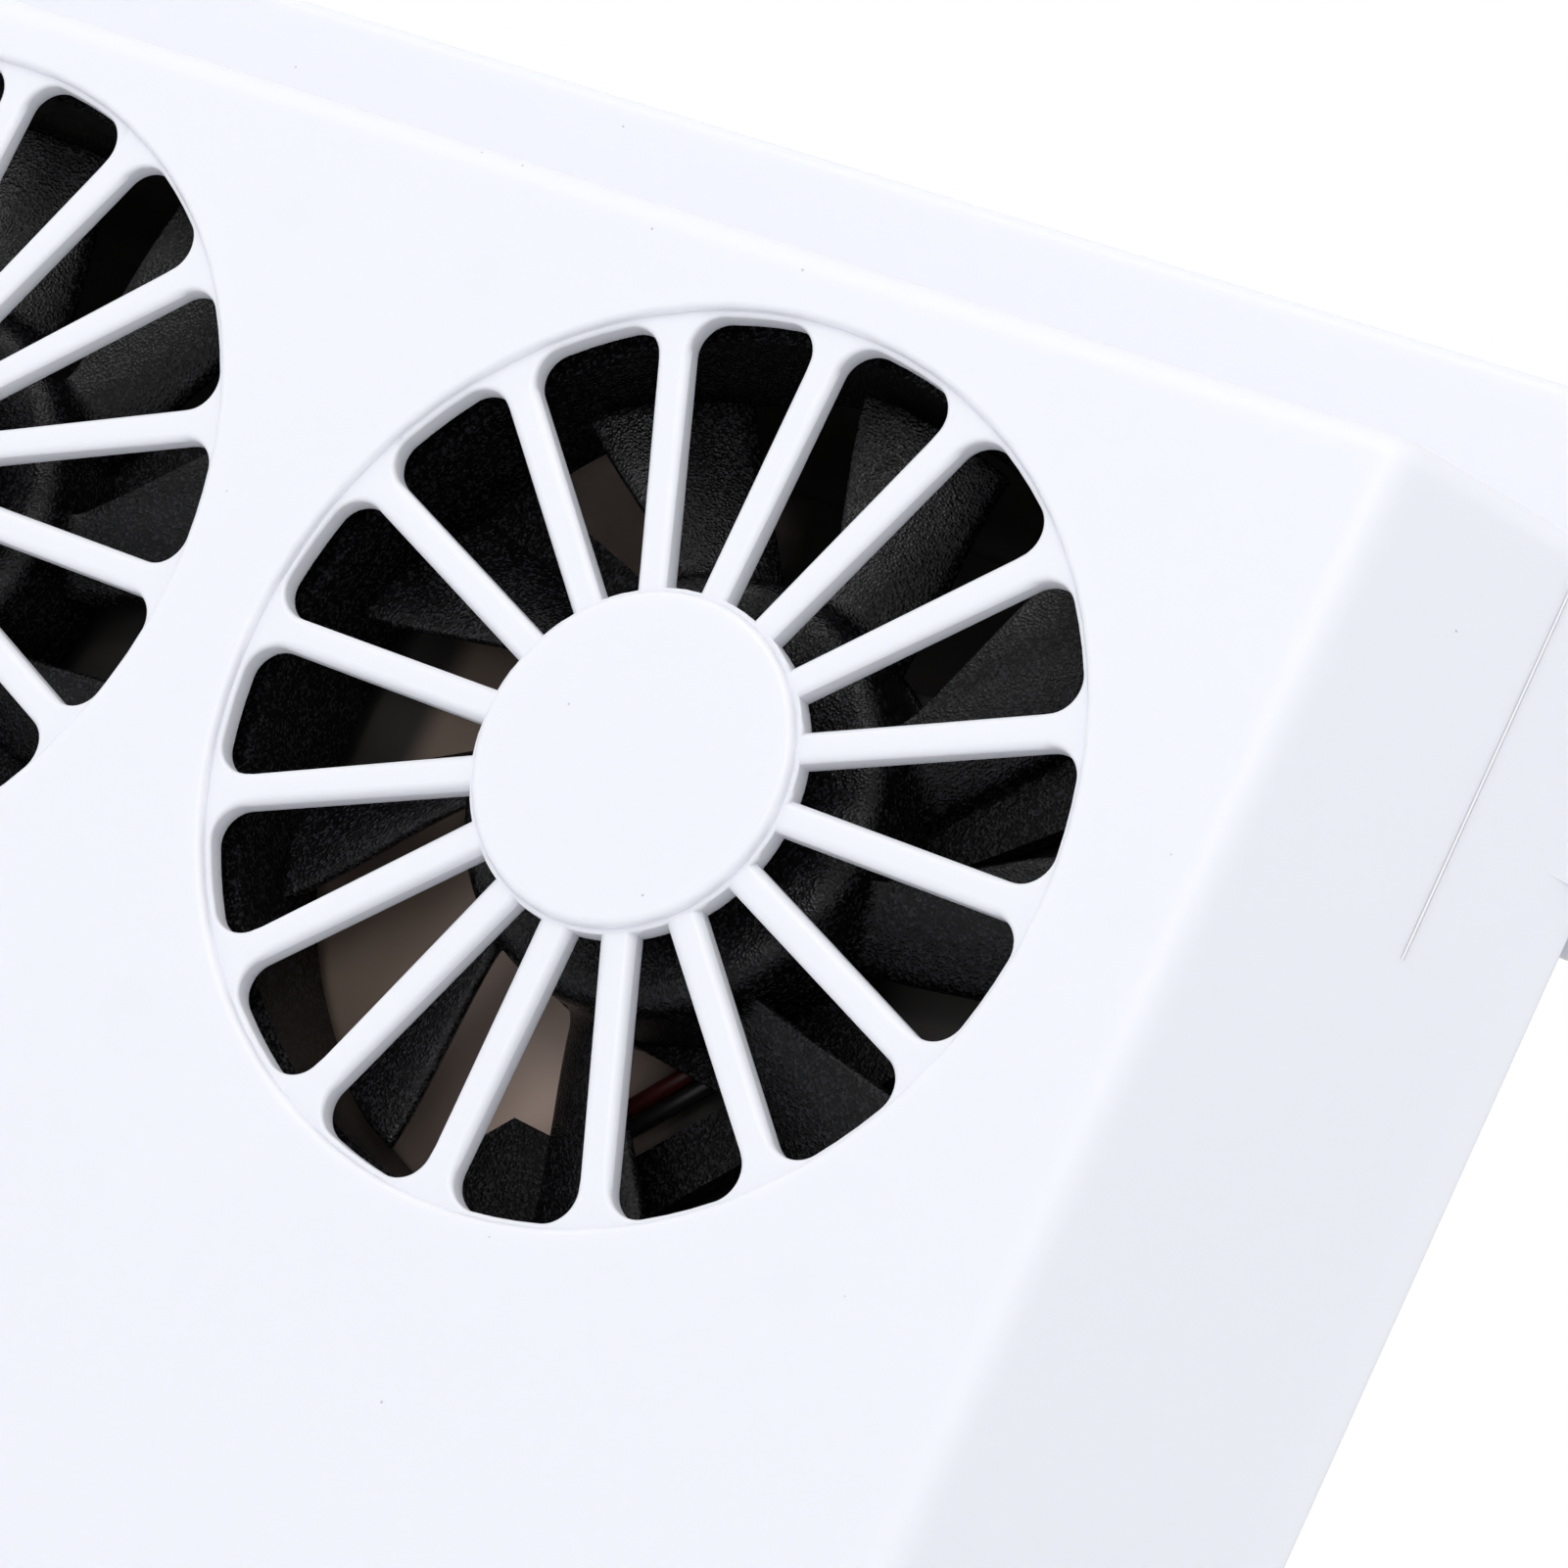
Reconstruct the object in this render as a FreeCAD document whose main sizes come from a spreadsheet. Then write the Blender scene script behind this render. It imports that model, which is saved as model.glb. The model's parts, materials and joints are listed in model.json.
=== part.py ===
import FreeCAD, Part
import math
import os
import Sketcher
from types import SimpleNamespace

Vector = FreeCAD.Vector
Rotation = FreeCAD.Rotation

# A ventilator that hangs on a car's side window and is driven by a solar panel.
# X runs along the row of fans, the cabin side faces -Y, +Z is up, and the part stands on z = 0.
# "Depth" below always means millimetres behind the flat front face of the cabin-side housing.

dimensions = {
    # the case
    "fan_gap": 5.0,              # between neighbouring fan frames
    "fan_height": 74.0,          # fan axes above the bottom
    "front_depth": 17.0,         # cabin-side housing, front face to back face
    "slot_gap": 6.5,             # gap for the window glass, and thickness of the window plate
    "rear_depth": 21.5,          # outer housing
    "case_wall": 2.0,
    "front_margin": 7.8,         # outer fan frame to the end of the flat front face
    "end_spread": 14.4,          # how far the slanted ends widen towards the back
    "box_over_fan": 3.2,         # fan frame to the top of both housings
    "front_corner_round": 3.0,
    "front_edge_round": 1.8,
    # the window plate, which stands in the gap above the lowered glass
    "plate_over_fan": 13.8,      # fan frame to the top of the plate
    "plate_under": 11.5,         # fan axis to the underside that sits on the glass
    "lug_reach": 11.0,           # plate beyond the widest part of the housing
    "plate_top_round": 1.0,
    "blend_radius": 7.0,         # hollow between slanted end and plate
    # the saddle that bridges the glass
    "saddle_wall": 1.2,
    "seat_clear": 0.3,           # saddle to the shells around it
    "duct_margin": 1.5,          # end of the air way to the saddle's rear end
    "pad_thick": 0.8,
    "pad_height": 14.0,
    "pad_length": 190.0,
    "pad_rise": 12.0,
    # the grilles
    "grille_radius": 28.5,
    "grille_rim": 0.7,           # recess beyond the slots
    "grille_recess": 0.6,
    "disc_radius": 10.6,
    "slot_start": 10.9,
    "slot_corner": 2.0,
    "spoke_width": 2.1,
    # the outer housing
    "rear_margin": 18.0,         # outer fan frame to the end of the outer housing at the glass
    "rear_taper": 11.0,
    "rear_corner_round": 5.0,
    "rear_edge_round": 2.5,
    "panel_width": 176.0,
    "panel_height": 60.0,
    "panel_bottom": 40.0,
    "panel_clear": 0.2,
    "well_wall": 1.5,
    "board_thick": 1.2,
    "cell_thick": 0.25,
    "cover_thick": 0.9,
    "cell_gap": 1.0,
    "cell_border": 3.0,
    "vent_width": 48.0,
    "vent_height": 2.8,
    "vent_step": 5.0,
    "vent_bottom": 10.0,
    # the fans
    "fan_side": 60.0,
    "fan_depth": 10.0,
    "fan_front": 4.0,            # depth of the fan frame's front
    "fan_corner": 3.0,
    "duct_radius": 28.3,
    "screw_spread": 50.0,        # between fan screw holes
    "screw_hole": 2.15,
    "hub_radius": 14.2,
    "hub_wall": 1.0,
    "hub_front": 1.2,
    "hub_depth": 7.1,
    "hub_round": 1.8,
    "tip_gap": 0.8,
    "blade_thick": 0.9,
    "blade_front": 3.85,
    "blade_rear": 8.4,
    "blade_camber": 0.6,
    "blade_turn": 20.5,          # degrees that a blade spans, seen along the axis
    "blade_sweep": 14.1,         # degrees that its tip runs ahead of its root
    "blade_bow": 2.6,            # degrees that its middle runs ahead of a straight sweep
    "left_rotor_turn": 27.0,     # degrees, where a blade's front edge leaves each hub at rest
    "middle_rotor_turn": 13.7,
    "right_rotor_turn": -1.9,
    "magnet_wall": 1.2,
    "magnet_depth": 5.2,
    "air_gap": 0.5,
    "fit_clear": 0.02,
    "shaft_radius": 1.0,
    "running_clear": 0.03,
    "bearing_wall": 1.2,
    "tube_wall": 1.0,
    "tube_front": 3.2,
    "motor_plate": 14.4,
    "motor_plate_thick": 1.3,
    "end_wall": 0.6,
    "strut_bite": 1.1,           # how far a strut runs into the frame
    "strut_depth": 1.3,
    "side_strut_width": 7.9,
    "side_strut_offset": 4.5,    # fan axis to the line that a side strut follows
    "left_strut_turn": 197.6,    # degrees
    "right_strut_turn": 320.0,
    "lead_strut_width": 3.9,     # the strut beside the fan's leads
    "lead_strut_offset": 18.75,
    "lead_strut_turn": 130.0,
    "lead_strut_tail": 5.0,      # its inner end, past the point nearest to the axis
    "arm_reach": 5.7,            # the arm from the motor plate to that strut
    "arm_flare": 4.6,
    "arm_root": 10.0,
    "foot_reach": 14.2,          # the foot where that strut widens to meet the duct
    "foot_flare": 4.7,
    "foot_root": 10.4,
    "circuit_radius": 12.4,
    "circuit_thick": 0.8,
    "core_front": 3.7,
    "core_depth": 3.0,
    "pole_width": 2.6,
    "coil_build": 1.5,
    "coil_overhang": 0.8,
    "clip_wall": 0.8,
    "clip_thick": 0.4,
    # screws, bosses and posts
    "boss_radius": 3.0,
    "pilot_radius": 1.2,
    "screw_radius": 1.15,
    "head_radius": 2.6,
    "head_height": 1.6,
    "saddle_screw_x": 4.5,       # beyond the outer fan frame
    "saddle_screw_low": 10.0,
    "saddle_screw_high": 75.0,
    "post_radius": 4.0,
    "post_x": 93.5,
    "post_low": 30.0,
    "post_high": 79.0,
    "saddle_boss": 6.0,
    "screw_seat": 2.0,           # saddle under its front screws
    "post_floor": 3.0,
    "head_clear": 0.3,
    "fan_screw_bite": 2.3,       # thread in the boss that each kind of screw goes into
    "saddle_screw_bite": 7.7,
    "rear_screw_bite": 4.5,
    "control_screw_bite": 4.4,
    # controls and power, in the lower half of the cabin-side housing
    "control_left": 20.0,
    "control_width": 74.0,
    "control_bottom": 4.0,
    "control_height": 30.0,
    "control_front": 9.5,
    "control_thick": 1.6,
    "control_inset": 4.0,        # board edge to the board's screws
    "chip_thick": 1.6,
    "button_x": 78.0,
    "button_z": 16.0,
    "button_radius": 5.0,
    "button_clear": 0.3,
    "button_sink": 0.2,
    "button_flange": 1.4,
    "button_plate": 1.0,
    "tact_side": 6.0,
    "tact_height": 3.5,
    "plunger_radius": 1.7,
    "plunger_reach": 1.0,
    "socket_x": 45.0,
    "socket_width": 9.0,
    "socket_height": 3.2,
    "socket_length": 7.4,
    "socket_sink": 0.4,
    "socket_shell": 0.35,
    "battery_left": -78.0,
    "battery_width": 64.0,
    "battery_bottom": 7.0,
    "battery_height": 28.0,
    "battery_thick": 6.4,
    "battery_round": 1.0,
    "tape_thick": 1.0,
    # leads
    "lead_radius": 0.55,
    "lead_pair": 0.85,           # half the distance between the two leads of a pair
    "lead_side": 4.6,            # fan axis to the pair, where it leaves the frame
    "lead_gap": 0.25,            # leads to the frame's back
    "lead_bend": 2.0,
    "lead_fall": 13.7,           # from where a fan's pair leaves its duct to its connector
    "lead_hole": 1.7,            # hole in the motor plate
    "lead_hole_x": 6.6,          # that hole, from the fan axis
    "lead_hole_z": 8.8,
    "solar_lead_x": 80.0,        # where the panel's leads pass the well's floor
    "solar_lead_z": 93.0,
    "connector_width": 5.0,
    "connector_height": 4.0,
    "connector_depth": 4.0,
}

slot_count = 16
blade_count = 9
clip_opening = 60                # degrees
pole_count = 4
cell_count = 12
vent_rows = 5
fans = {"left": -1, "middle": 0, "right": 1}
overcut = 1.0                    # cutters run this far past the faces that they open

doc = FreeCAD.newDocument("solar_window_fan")
sheet = doc.addObject("Spreadsheet::Sheet", "sizes")
for row, (alias, number) in enumerate(dimensions.items(), start=1):
    sheet.set(f"A{row}", alias)
    sheet.set(f"B{row}", str(number))
    sheet.setAlias(f"B{row}", alias)
doc.recompute()


class Size:
    """A length as a formula over the sheet's cells, with its value at hand."""

    def __init__(self, text, value):
        self.text = text
        self.value = value

    def __add__(self, other):
        return Size(f"({self.text} + {size(other).text})", self.value + size(other).value)

    def __sub__(self, other):
        return Size(f"({self.text} - {size(other).text})", self.value - size(other).value)

    def __mul__(self, other):
        return Size(f"({self.text} * {size(other).text})", self.value * size(other).value)

    def __truediv__(self, other):
        return Size(f"({self.text} / {size(other).text})", self.value / size(other).value)

    def __radd__(self, other):
        return size(other) + self

    def __rsub__(self, other):
        return size(other) - self

    def __rmul__(self, other):
        return size(other) * self

    def __neg__(self):
        return Size(f"(-{self.text})", -self.value)

    def root(self):
        return Size(f"sqrt({self.text})", math.sqrt(self.value))


def size(number):
    return number if isinstance(number, Size) else Size(f"({float(number)!r})", float(number))


s = SimpleNamespace(**{alias: Size(f"sizes.{alias}", float(sheet.get(alias))) for alias in dimensions})

# Lengths that several pieces share
front_y = -(s.front_depth + s.slot_gap + s.rear_depth) / 2
fan_pitch = s.fan_side + s.fan_gap
fan_top = s.fan_height + s.fan_side / 2
fans_half = fan_pitch + s.fan_side / 2
box_top = fan_top + s.box_over_fan
plate_bottom = s.fan_height + s.plate_under
plate_top = fan_top + s.plate_over_fan
front_half = fans_half + s.front_margin
back_half = front_half + s.end_spread
end_slope = s.end_spread / s.front_depth
end_wall_x = s.case_wall * (1 + end_slope * end_slope).root()
rear_half = fans_half + s.rear_margin
rear_slope = s.rear_taper / s.rear_depth
rear_wall_x = s.case_wall * (1 + rear_slope * rear_slope).root()
glass_back = s.front_depth + s.slot_gap
total_depth = glass_back + s.rear_depth
saddle_front = s.front_depth - s.saddle_wall
saddle_back = glass_back + s.saddle_wall
saddle_front_half = front_half + end_slope * saddle_front - end_wall_x - s.seat_clear
saddle_rear_half = rear_half - rear_slope * s.saddle_wall - rear_wall_x - s.seat_clear
duct_half = saddle_rear_half - s.duct_margin
panel_depth = s.board_thick + s.cell_thick + s.cover_thick
control_back = s.control_front + s.control_thick
saddle_screw_x = fans_half + s.saddle_screw_x

subparts = []


def bind(item, formulas):
    for name, length in formulas.items():
        item.setExpression(name, size(length).text)


def place(item, x=0.0, depth=0.0, z=0.0, turn=None):
    """Puts a sub-part at x, at a depth behind the front face and at a height, and lists it."""
    if turn is not None:
        item.Placement = FreeCAD.Placement(Vector(), turn)
    bind(item, {"Placement.Base.x": x, "Placement.Base.y": front_y + depth, "Placement.Base.z": z})
    subparts.append(item)


# Turns a piece that is drawn with its axis along +Z so that the axis runs backwards, along +Y
face_back = Rotation(Vector(1, 0, 0), -90)


# Bodies, sketches and features

def new_body(label):
    body = doc.addObject("PartDesign::Body", label)
    body.Label = label
    return body


def new_sketch(body, name, role, lift=0.0, x=0.0, y=0.0):
    sketch = body.newObject("Sketcher::SketchObject", name)
    plane = next(item for item in body.Origin.OriginFeatures if item.Role == role)
    sketch.AttachmentSupport = [(plane, "")]
    sketch.MapMode = "FlatFace"
    for axis, length in (("x", x), ("y", y), ("z", lift)):
        bind(sketch, {f"AttachmentOffset.Base.{axis}": length})
    return sketch


def constrain(sketch, kind, *details, length=None):
    if length is None:
        return sketch.addConstraint(Sketcher.Constraint(kind, *details))
    index = sketch.addConstraint(Sketcher.Constraint(kind, *details, length.value))
    sketch.setExpression(f"Constraints[{index}]", length.text)
    return index


def pin(sketch, geometry, corner, x, y):
    """Holds a point of the sketch at x and y from the sketch's origin."""
    for kind, axis, length in (("DistanceX", -2, size(x)), ("DistanceY", -1, size(y))):
        if abs(length.value) < 1e-9:
            constrain(sketch, "PointOnObject", geometry, corner, axis)
        elif length.value > 0:
            constrain(sketch, kind, -1, 1, geometry, corner, length=length)
        else:
            constrain(sketch, kind, geometry, corner, -1, 1, length=-length)


def polygon(sketch, corners):
    points = [Vector(size(x).value, size(y).value, 0) for x, y in corners]
    first = sketch.GeometryCount
    count = len(points)
    for index, point in enumerate(points):
        sketch.addGeometry(Part.LineSegment(point, points[(index + 1) % count]), False)
    for index, (x, y) in enumerate(corners):
        constrain(sketch, "Coincident", first + index, 2, first + (index + 1) % count, 1)
        pin(sketch, first + index, 1, x, y)


def circles(sketch, centres, radius):
    for x, y in centres:
        centre = Vector(size(x).value, size(y).value, 0)
        geometry = sketch.addGeometry(Part.Circle(centre, Vector(0, 0, 1), size(radius).value), False)
        pin(sketch, geometry, 3, x, y)
        constrain(sketch, "Radius", geometry, length=size(radius))


def pad(body, sketch, length, reverse=False, middle=False):
    feature = body.newObject("PartDesign::Pad", sketch.Name + "_pad")
    feature.Profile = sketch
    feature.Reversed = reverse
    feature.Midplane = middle
    bind(feature, {"Length": length})
    return feature


def pocket(body, sketch, length, reverse=False):
    doc.recompute()
    before = body.Shape.Volume
    feature = body.newObject("PartDesign::Pocket", sketch.Name + "_pocket")
    feature.Profile = sketch
    feature.Reversed = reverse
    bind(feature, {"Length": length})
    doc.recompute()
    if not body.Shape.Volume < before - 1e-6:
        raise RuntimeError(f"{sketch.Name} cuts nothing")
    return feature


def around(body, feature, count):
    pattern = body.newObject("PartDesign::PolarPattern", feature.Name + "_round")
    pattern.Originals = [feature]
    pattern.Axis = (feature.Profile[0], ["N_Axis"])
    pattern.Angle = 360
    pattern.Occurrences = count
    body.Tip = pattern
    return pattern


def block(body, kind, name, low, high):
    """An added or cut block of a body, from its low corner to its high one."""
    feature = body.newObject(f"PartDesign::{kind}Box", name)
    spans = [size(b) - size(a) for a, b in zip(low, high)]
    bind(feature, dict(zip(("Length", "Width", "Height"), spans)))
    bind(feature, dict(zip((f"Placement.Base.{axis}" for axis in "xyz"), low)))
    return feature


def rounded(body, name, radius, chosen):
    """Rounds those edges of a body for which chosen(edge) is true."""
    doc.recompute()
    base = body.Tip
    edges = [f"Edge{index}" for index, edge in enumerate(base.Shape.Edges, 1) if chosen(edge)]
    if not edges:
        raise RuntimeError(f"{name} finds no edge")
    feature = body.newObject("PartDesign::Fillet", name)
    feature.Base = (base, edges)
    bind(feature, {"Radius": radius})
    return feature


def near(a, b):
    return abs(a - b) < 1e-3


def upright(edge):
    box = edge.BoundBox
    return box.XLength < 1e-3 and box.YLength < 1e-3


def level_at(edge, height):
    return near(edge.BoundBox.ZMin, height) and near(edge.BoundBox.ZMax, height)


# Primitives with their axis along Z, and booleans of them

def cylinder(name, radius, start, length, x=0.0, y=0.0):
    item = doc.addObject("Part::Cylinder", name)
    bind(item, {"Radius": radius, "Height": length})
    bind(item, {"Placement.Base.x": x, "Placement.Base.y": y, "Placement.Base.z": start})
    return item


def brick(name, low, high):
    item = doc.addObject("Part::Box", name)
    spans = [size(b) - size(a) for a, b in zip(low, high)]
    bind(item, dict(zip(("Length", "Width", "Height"), spans)))
    bind(item, dict(zip((f"Placement.Base.{axis}" for axis in "xyz"), low)))
    return item


def plain_block(label, low, high):
    """A sub-part that is one block; its y is a depth behind the front face."""
    item = brick(label, low, high)
    item.Label = label
    place(item, *low)


def fuse(label, items):
    result = doc.addObject("Part::MultiFuse", label)
    result.Shapes = items
    result.Label = label
    return result


def group(label, items):
    """Separate solids that share one node."""
    result = doc.addObject("Part::Compound", label)
    result.Links = items
    result.Label = label
    return result


def cut(label, base, tool):
    result = doc.addObject("Part::Cut", label)
    result.Base = base
    result.Tool = tool
    result.Label = label
    return result


def tube(label, outer, inner, start, length):
    full = cylinder(label + "_outer", outer, start, length)
    return cut(label, full, cylinder(label + "_bore", inner, start, length))


def screw(name, x, y, head, length):
    """A pan-head screw along +Z with its head's underside at z = head."""
    shank = cylinder(name + "_shank", s.screw_radius, head, length, x, y)
    cap = cylinder(name + "_head", s.head_radius, head - s.head_height, s.head_height, x, y)
    socket = cylinder(name + "_socket", s.screw_radius, head - s.head_height, s.head_height / 2, x, y)
    return cut(name, fuse(name + "_blank", [shank, cap]), socket)


def solid_part(label, shape):
    item = doc.addObject("Part::Feature", label)
    item.Label = label
    item.Shape = shape
    return item


fan_x = {side: step * fan_pitch for side, step in fans.items()}
fan_screw_places = [(step * fan_pitch + i * s.screw_spread / 2, s.fan_height + j * s.screw_spread / 2)
                    for step in fans.values() for i in (-1, 1) for j in (-1, 1)]
saddle_screw_places = [(side * saddle_screw_x, height)
                       for side in (-1, 1) for height in (s.saddle_screw_low, s.saddle_screw_high)]
post_places = [(side * s.post_x, height) for side in (-1, 1) for height in (s.post_low, s.post_high)]
control_right = s.control_left + s.control_width
control_top = s.control_bottom + s.control_height
control_screw_places = [(x, z) for x in (s.control_left + s.control_inset, control_right - s.control_inset)
                        for z in (s.control_bottom + s.control_inset, control_top - s.control_inset)]


# Cabin-side housing: front face with three grilles, slanted ends, and the window plate behind

def slot_outline(sketch):
    """One grille slot about the sketch's x axis: straight sides along two spokes, round outer corners."""
    half_angle = math.pi / slot_count
    half_spoke = s.spoke_width / 2
    inner, outer, corner = s.slot_start.value, s.grille_radius.value, s.slot_corner.value
    side = half_spoke.value
    start_angle = half_angle - math.asin(side / inner)
    corner_angle = half_angle - math.asin((side + corner) / (outer - corner))
    reach = (outer - corner) * math.cos(math.asin((side + corner) / (outer - corner)))
    axis = Vector(0, 0, 1)
    centre = Vector(0, 0, 0)

    def polar(radius, angle):
        return Vector(radius * math.cos(angle), radius * math.sin(angle), 0)

    def side_line(sign):
        along = polar(1, sign * half_angle)
        inward = Vector(along.y, -along.x, 0) * sign
        return polar(inner, sign * start_angle), along * reach + inward * side

    low_start, low_end = side_line(-1)
    high_start, high_end = side_line(1)
    low_corner = polar(outer - corner, -corner_angle)
    high_corner = polar(outer - corner, corner_angle)

    def arc(middle, radius, begin, end):
        return Part.ArcOfCircle(Part.Circle(middle, axis, radius), begin, end)

    quarter = math.pi / 2
    inner_arc = sketch.addGeometry(arc(centre, inner, -start_angle, start_angle), False)
    high_line = sketch.addGeometry(Part.LineSegment(high_start, high_end), False)
    high_arc = sketch.addGeometry(arc(high_corner, corner, corner_angle, half_angle + quarter), False)
    outer_arc = sketch.addGeometry(arc(centre, outer, -corner_angle, corner_angle), False)
    low_arc = sketch.addGeometry(arc(low_corner, corner, -half_angle - quarter, -corner_angle), False)
    low_line = sketch.addGeometry(Part.LineSegment(low_start, low_end), False)
    for item in (inner_arc, outer_arc):
        constrain(sketch, "Coincident", item, 3, -1, 1)
    constrain(sketch, "Coincident", inner_arc, 2, high_line, 1)
    constrain(sketch, "Coincident", inner_arc, 1, low_line, 1)
    constrain(sketch, "Tangent", high_line, 2, high_arc, 2)
    constrain(sketch, "Tangent", high_arc, 1, outer_arc, 2)
    constrain(sketch, "Tangent", outer_arc, 1, low_arc, 2)
    constrain(sketch, "Tangent", low_arc, 1, low_line, 2)
    constrain(sketch, "Radius", inner_arc, length=s.slot_start)
    constrain(sketch, "Radius", outer_arc, length=s.grille_radius)
    constrain(sketch, "Radius", high_arc, length=s.slot_corner)
    constrain(sketch, "Radius", low_arc, length=s.slot_corner)
    for line in (high_line, low_line):
        constrain(sketch, "Distance", -1, 1, line, length=half_spoke)
    constrain(sketch, "Angle", high_line, length=Size(f"180 / {slot_count}", half_angle))
    constrain(sketch, "Angle", low_line, length=Size(f"-180 / {slot_count}", -half_angle))


def front_housing():
    body = new_body("front_housing")
    outline = new_sketch(body, "front_outline", "XY_Plane")
    polygon(outline, [(-front_half, 0), (front_half, 0),
                      (back_half, s.front_depth), (-back_half, s.front_depth)])
    pad(body, outline, box_top)
    rounded(body, "front_corners", s.front_corner_round,
            lambda edge: upright(edge) and near(edge.BoundBox.YMin, 0))
    back = s.front_depth.value
    rounded(body, "front_edges", s.front_edge_round,
            lambda edge: (level_at(edge, 0) or level_at(edge, box_top.value))
            and not (near(edge.BoundBox.YMin, back) and near(edge.BoundBox.YMax, back)))

    # The window plate: round underside, its top corners eased
    thick = s.slot_gap
    plate = new_sketch(body, "plate_section", "YZ_Plane")
    middle = s.front_depth + thick / 2
    round_start = plate_bottom + thick / 2
    polygon(plate, [(s.front_depth, round_start), (glass_back, round_start),
                    (glass_back, plate_top), (s.front_depth, plate_top)])
    pad(body, plate, 2 * (back_half + s.lug_reach), middle=True)
    foot = new_sketch(body, "plate_foot", "YZ_Plane")
    circles(foot, [(middle, round_start)], thick / 2)
    pad(body, foot, 2 * (back_half + s.lug_reach), middle=True)
    rounded(body, "plate_top_edges", s.plate_top_round, lambda edge: level_at(edge, plate_top.value))

    # Hollows that blend the slanted ends into the plate's lugs
    length = (1 + end_slope * end_slope).root()
    for name, side in (("left", -1), ("right", 1)):
        blend = new_sketch(body, f"blend_{name}", "XY_Plane", lift=round_start)
        run = s.blend_radius * (length - end_slope)
        on_end = (side * (back_half - run * end_slope / length), s.front_depth - run / length)
        on_plate = (side * (back_half + run), s.front_depth)
        polygon(blend, [on_end, on_plate, (side * (back_half - end_wall_x), s.front_depth)])
        pad(body, blend, box_top - round_start)
        hollow = new_sketch(body, f"hollow_{name}", "XY_Plane", lift=round_start)
        circles(hollow, [(on_plate[0], s.front_depth - s.blend_radius)], s.blend_radius)
        pocket(body, hollow, box_top - round_start, reverse=True)

    # The room inside, and the way through the plate to the outer housing
    room = new_sketch(body, "front_room", "XY_Plane", lift=s.case_wall)
    room_front = front_half + end_slope * s.case_wall - end_wall_x
    room_back = back_half - end_wall_x
    polygon(room, [(-room_front, s.case_wall), (room_front, s.case_wall),
                   (room_back, s.front_depth), (-room_back, s.front_depth)])
    pocket(body, room, box_top - 2 * s.case_wall, reverse=True)
    block(body, "Subtractive", "duct_way", (-duct_half, s.front_depth, plate_bottom - overcut),
          (duct_half, glass_back + overcut, box_top - s.case_wall))

    # Bosses for the fans, the saddle and the control board
    for name, places, end in (("fan", fan_screw_places, s.fan_front),
                              ("saddle", saddle_screw_places, saddle_front - s.screw_seat),
                              ("control", control_screw_places, s.control_front)):
        posts = new_sketch(body, f"{name}_bosses", "XZ_Plane", lift=-s.case_wall)
        circles(posts, places, s.boss_radius)
        pad(body, posts, end - s.case_wall, reverse=True)
        pilots = new_sketch(body, f"{name}_pilots", "XZ_Plane", lift=-s.case_wall / 2)
        circles(pilots, places, s.pilot_radius)
        pocket(body, pilots, end - s.case_wall / 2)

    # Grilles: a shallow ring recess about a flush disc, then the slots
    ring = new_sketch(body, "grille_rings", "XZ_Plane")
    circles(ring, [(x, s.fan_height) for x in fan_x.values()], s.grille_radius + s.grille_rim)
    circles(ring, [(x, s.fan_height) for x in fan_x.values()], s.disc_radius)
    pocket(body, ring, s.grille_recess)
    for side, x in fan_x.items():
        slot = new_sketch(body, f"grille_slot_{side}", "XZ_Plane", x=x, y=s.fan_height)
        slot.AttachmentOffset = FreeCAD.Placement(slot.AttachmentOffset.Base,
                                                  Rotation(Vector(0, 0, 1), 180 / slot_count))
        slot_outline(slot)
        around(body, pocket(body, slot, s.case_wall), slot_count)

    # Holes for the button and for the charging socket
    opening = new_sketch(body, "button_hole", "XZ_Plane")
    circles(opening, [(s.button_x, s.button_z)], s.button_radius + s.button_clear)
    pocket(body, opening, s.case_wall)
    block(body, "Subtractive", "socket_hole",
          (s.socket_x - s.socket_width / 2 - s.button_clear, control_back - s.button_clear, -overcut),
          (s.socket_x + s.socket_width / 2 + s.button_clear,
           control_back + s.socket_height + s.button_clear, s.case_wall + overcut))
    place(body)


# Saddle over the glass: two walls and the shelf that sits on the glass edge

def glass_saddle():
    body = new_body("glass_saddle")
    foot = s.case_wall + s.seat_clear
    shelf_top = plate_bottom + s.saddle_wall
    block(body, "Additive", "saddle_front_wall", (-saddle_front_half, saddle_front, foot),
          (saddle_front_half, s.front_depth, plate_bottom))
    block(body, "Additive", "saddle_shelf", (-(duct_half - s.seat_clear), saddle_front, plate_bottom),
          (duct_half - s.seat_clear, saddle_back, shelf_top))
    block(body, "Additive", "saddle_rear_wall", (-saddle_rear_half, glass_back, foot),
          (saddle_rear_half, saddle_back, plate_bottom))
    bosses = new_sketch(body, "saddle_rear_bosses", "XZ_Plane", lift=-saddle_back)
    circles(bosses, post_places, s.post_radius)
    pad(body, bosses, s.saddle_boss, reverse=True)
    pilots = new_sketch(body, "saddle_rear_pilots", "XZ_Plane", lift=-saddle_back)
    circles(pilots, post_places, s.pilot_radius)
    pocket(body, pilots, s.saddle_boss)
    seats = new_sketch(body, "saddle_front_bosses", "XZ_Plane", lift=-saddle_front)
    circles(seats, saddle_screw_places, s.boss_radius + s.screw_radius)
    pad(body, seats, s.screw_seat)
    holes = new_sketch(body, "saddle_front_holes", "XZ_Plane", lift=-(saddle_front - s.screw_seat))
    circles(holes, saddle_screw_places, s.screw_radius + s.head_clear)
    pocket(body, holes, s.saddle_wall + s.screw_seat)
    sinks = new_sketch(body, "saddle_front_sinks", "XZ_Plane", lift=-s.front_depth)
    circles(sinks, saddle_screw_places, s.head_radius + s.head_clear)
    pocket(body, sinks, s.head_height + s.head_clear, reverse=True)
    place(body)


# Outer housing: carries the solar panel, with the air outlets below it

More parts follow.
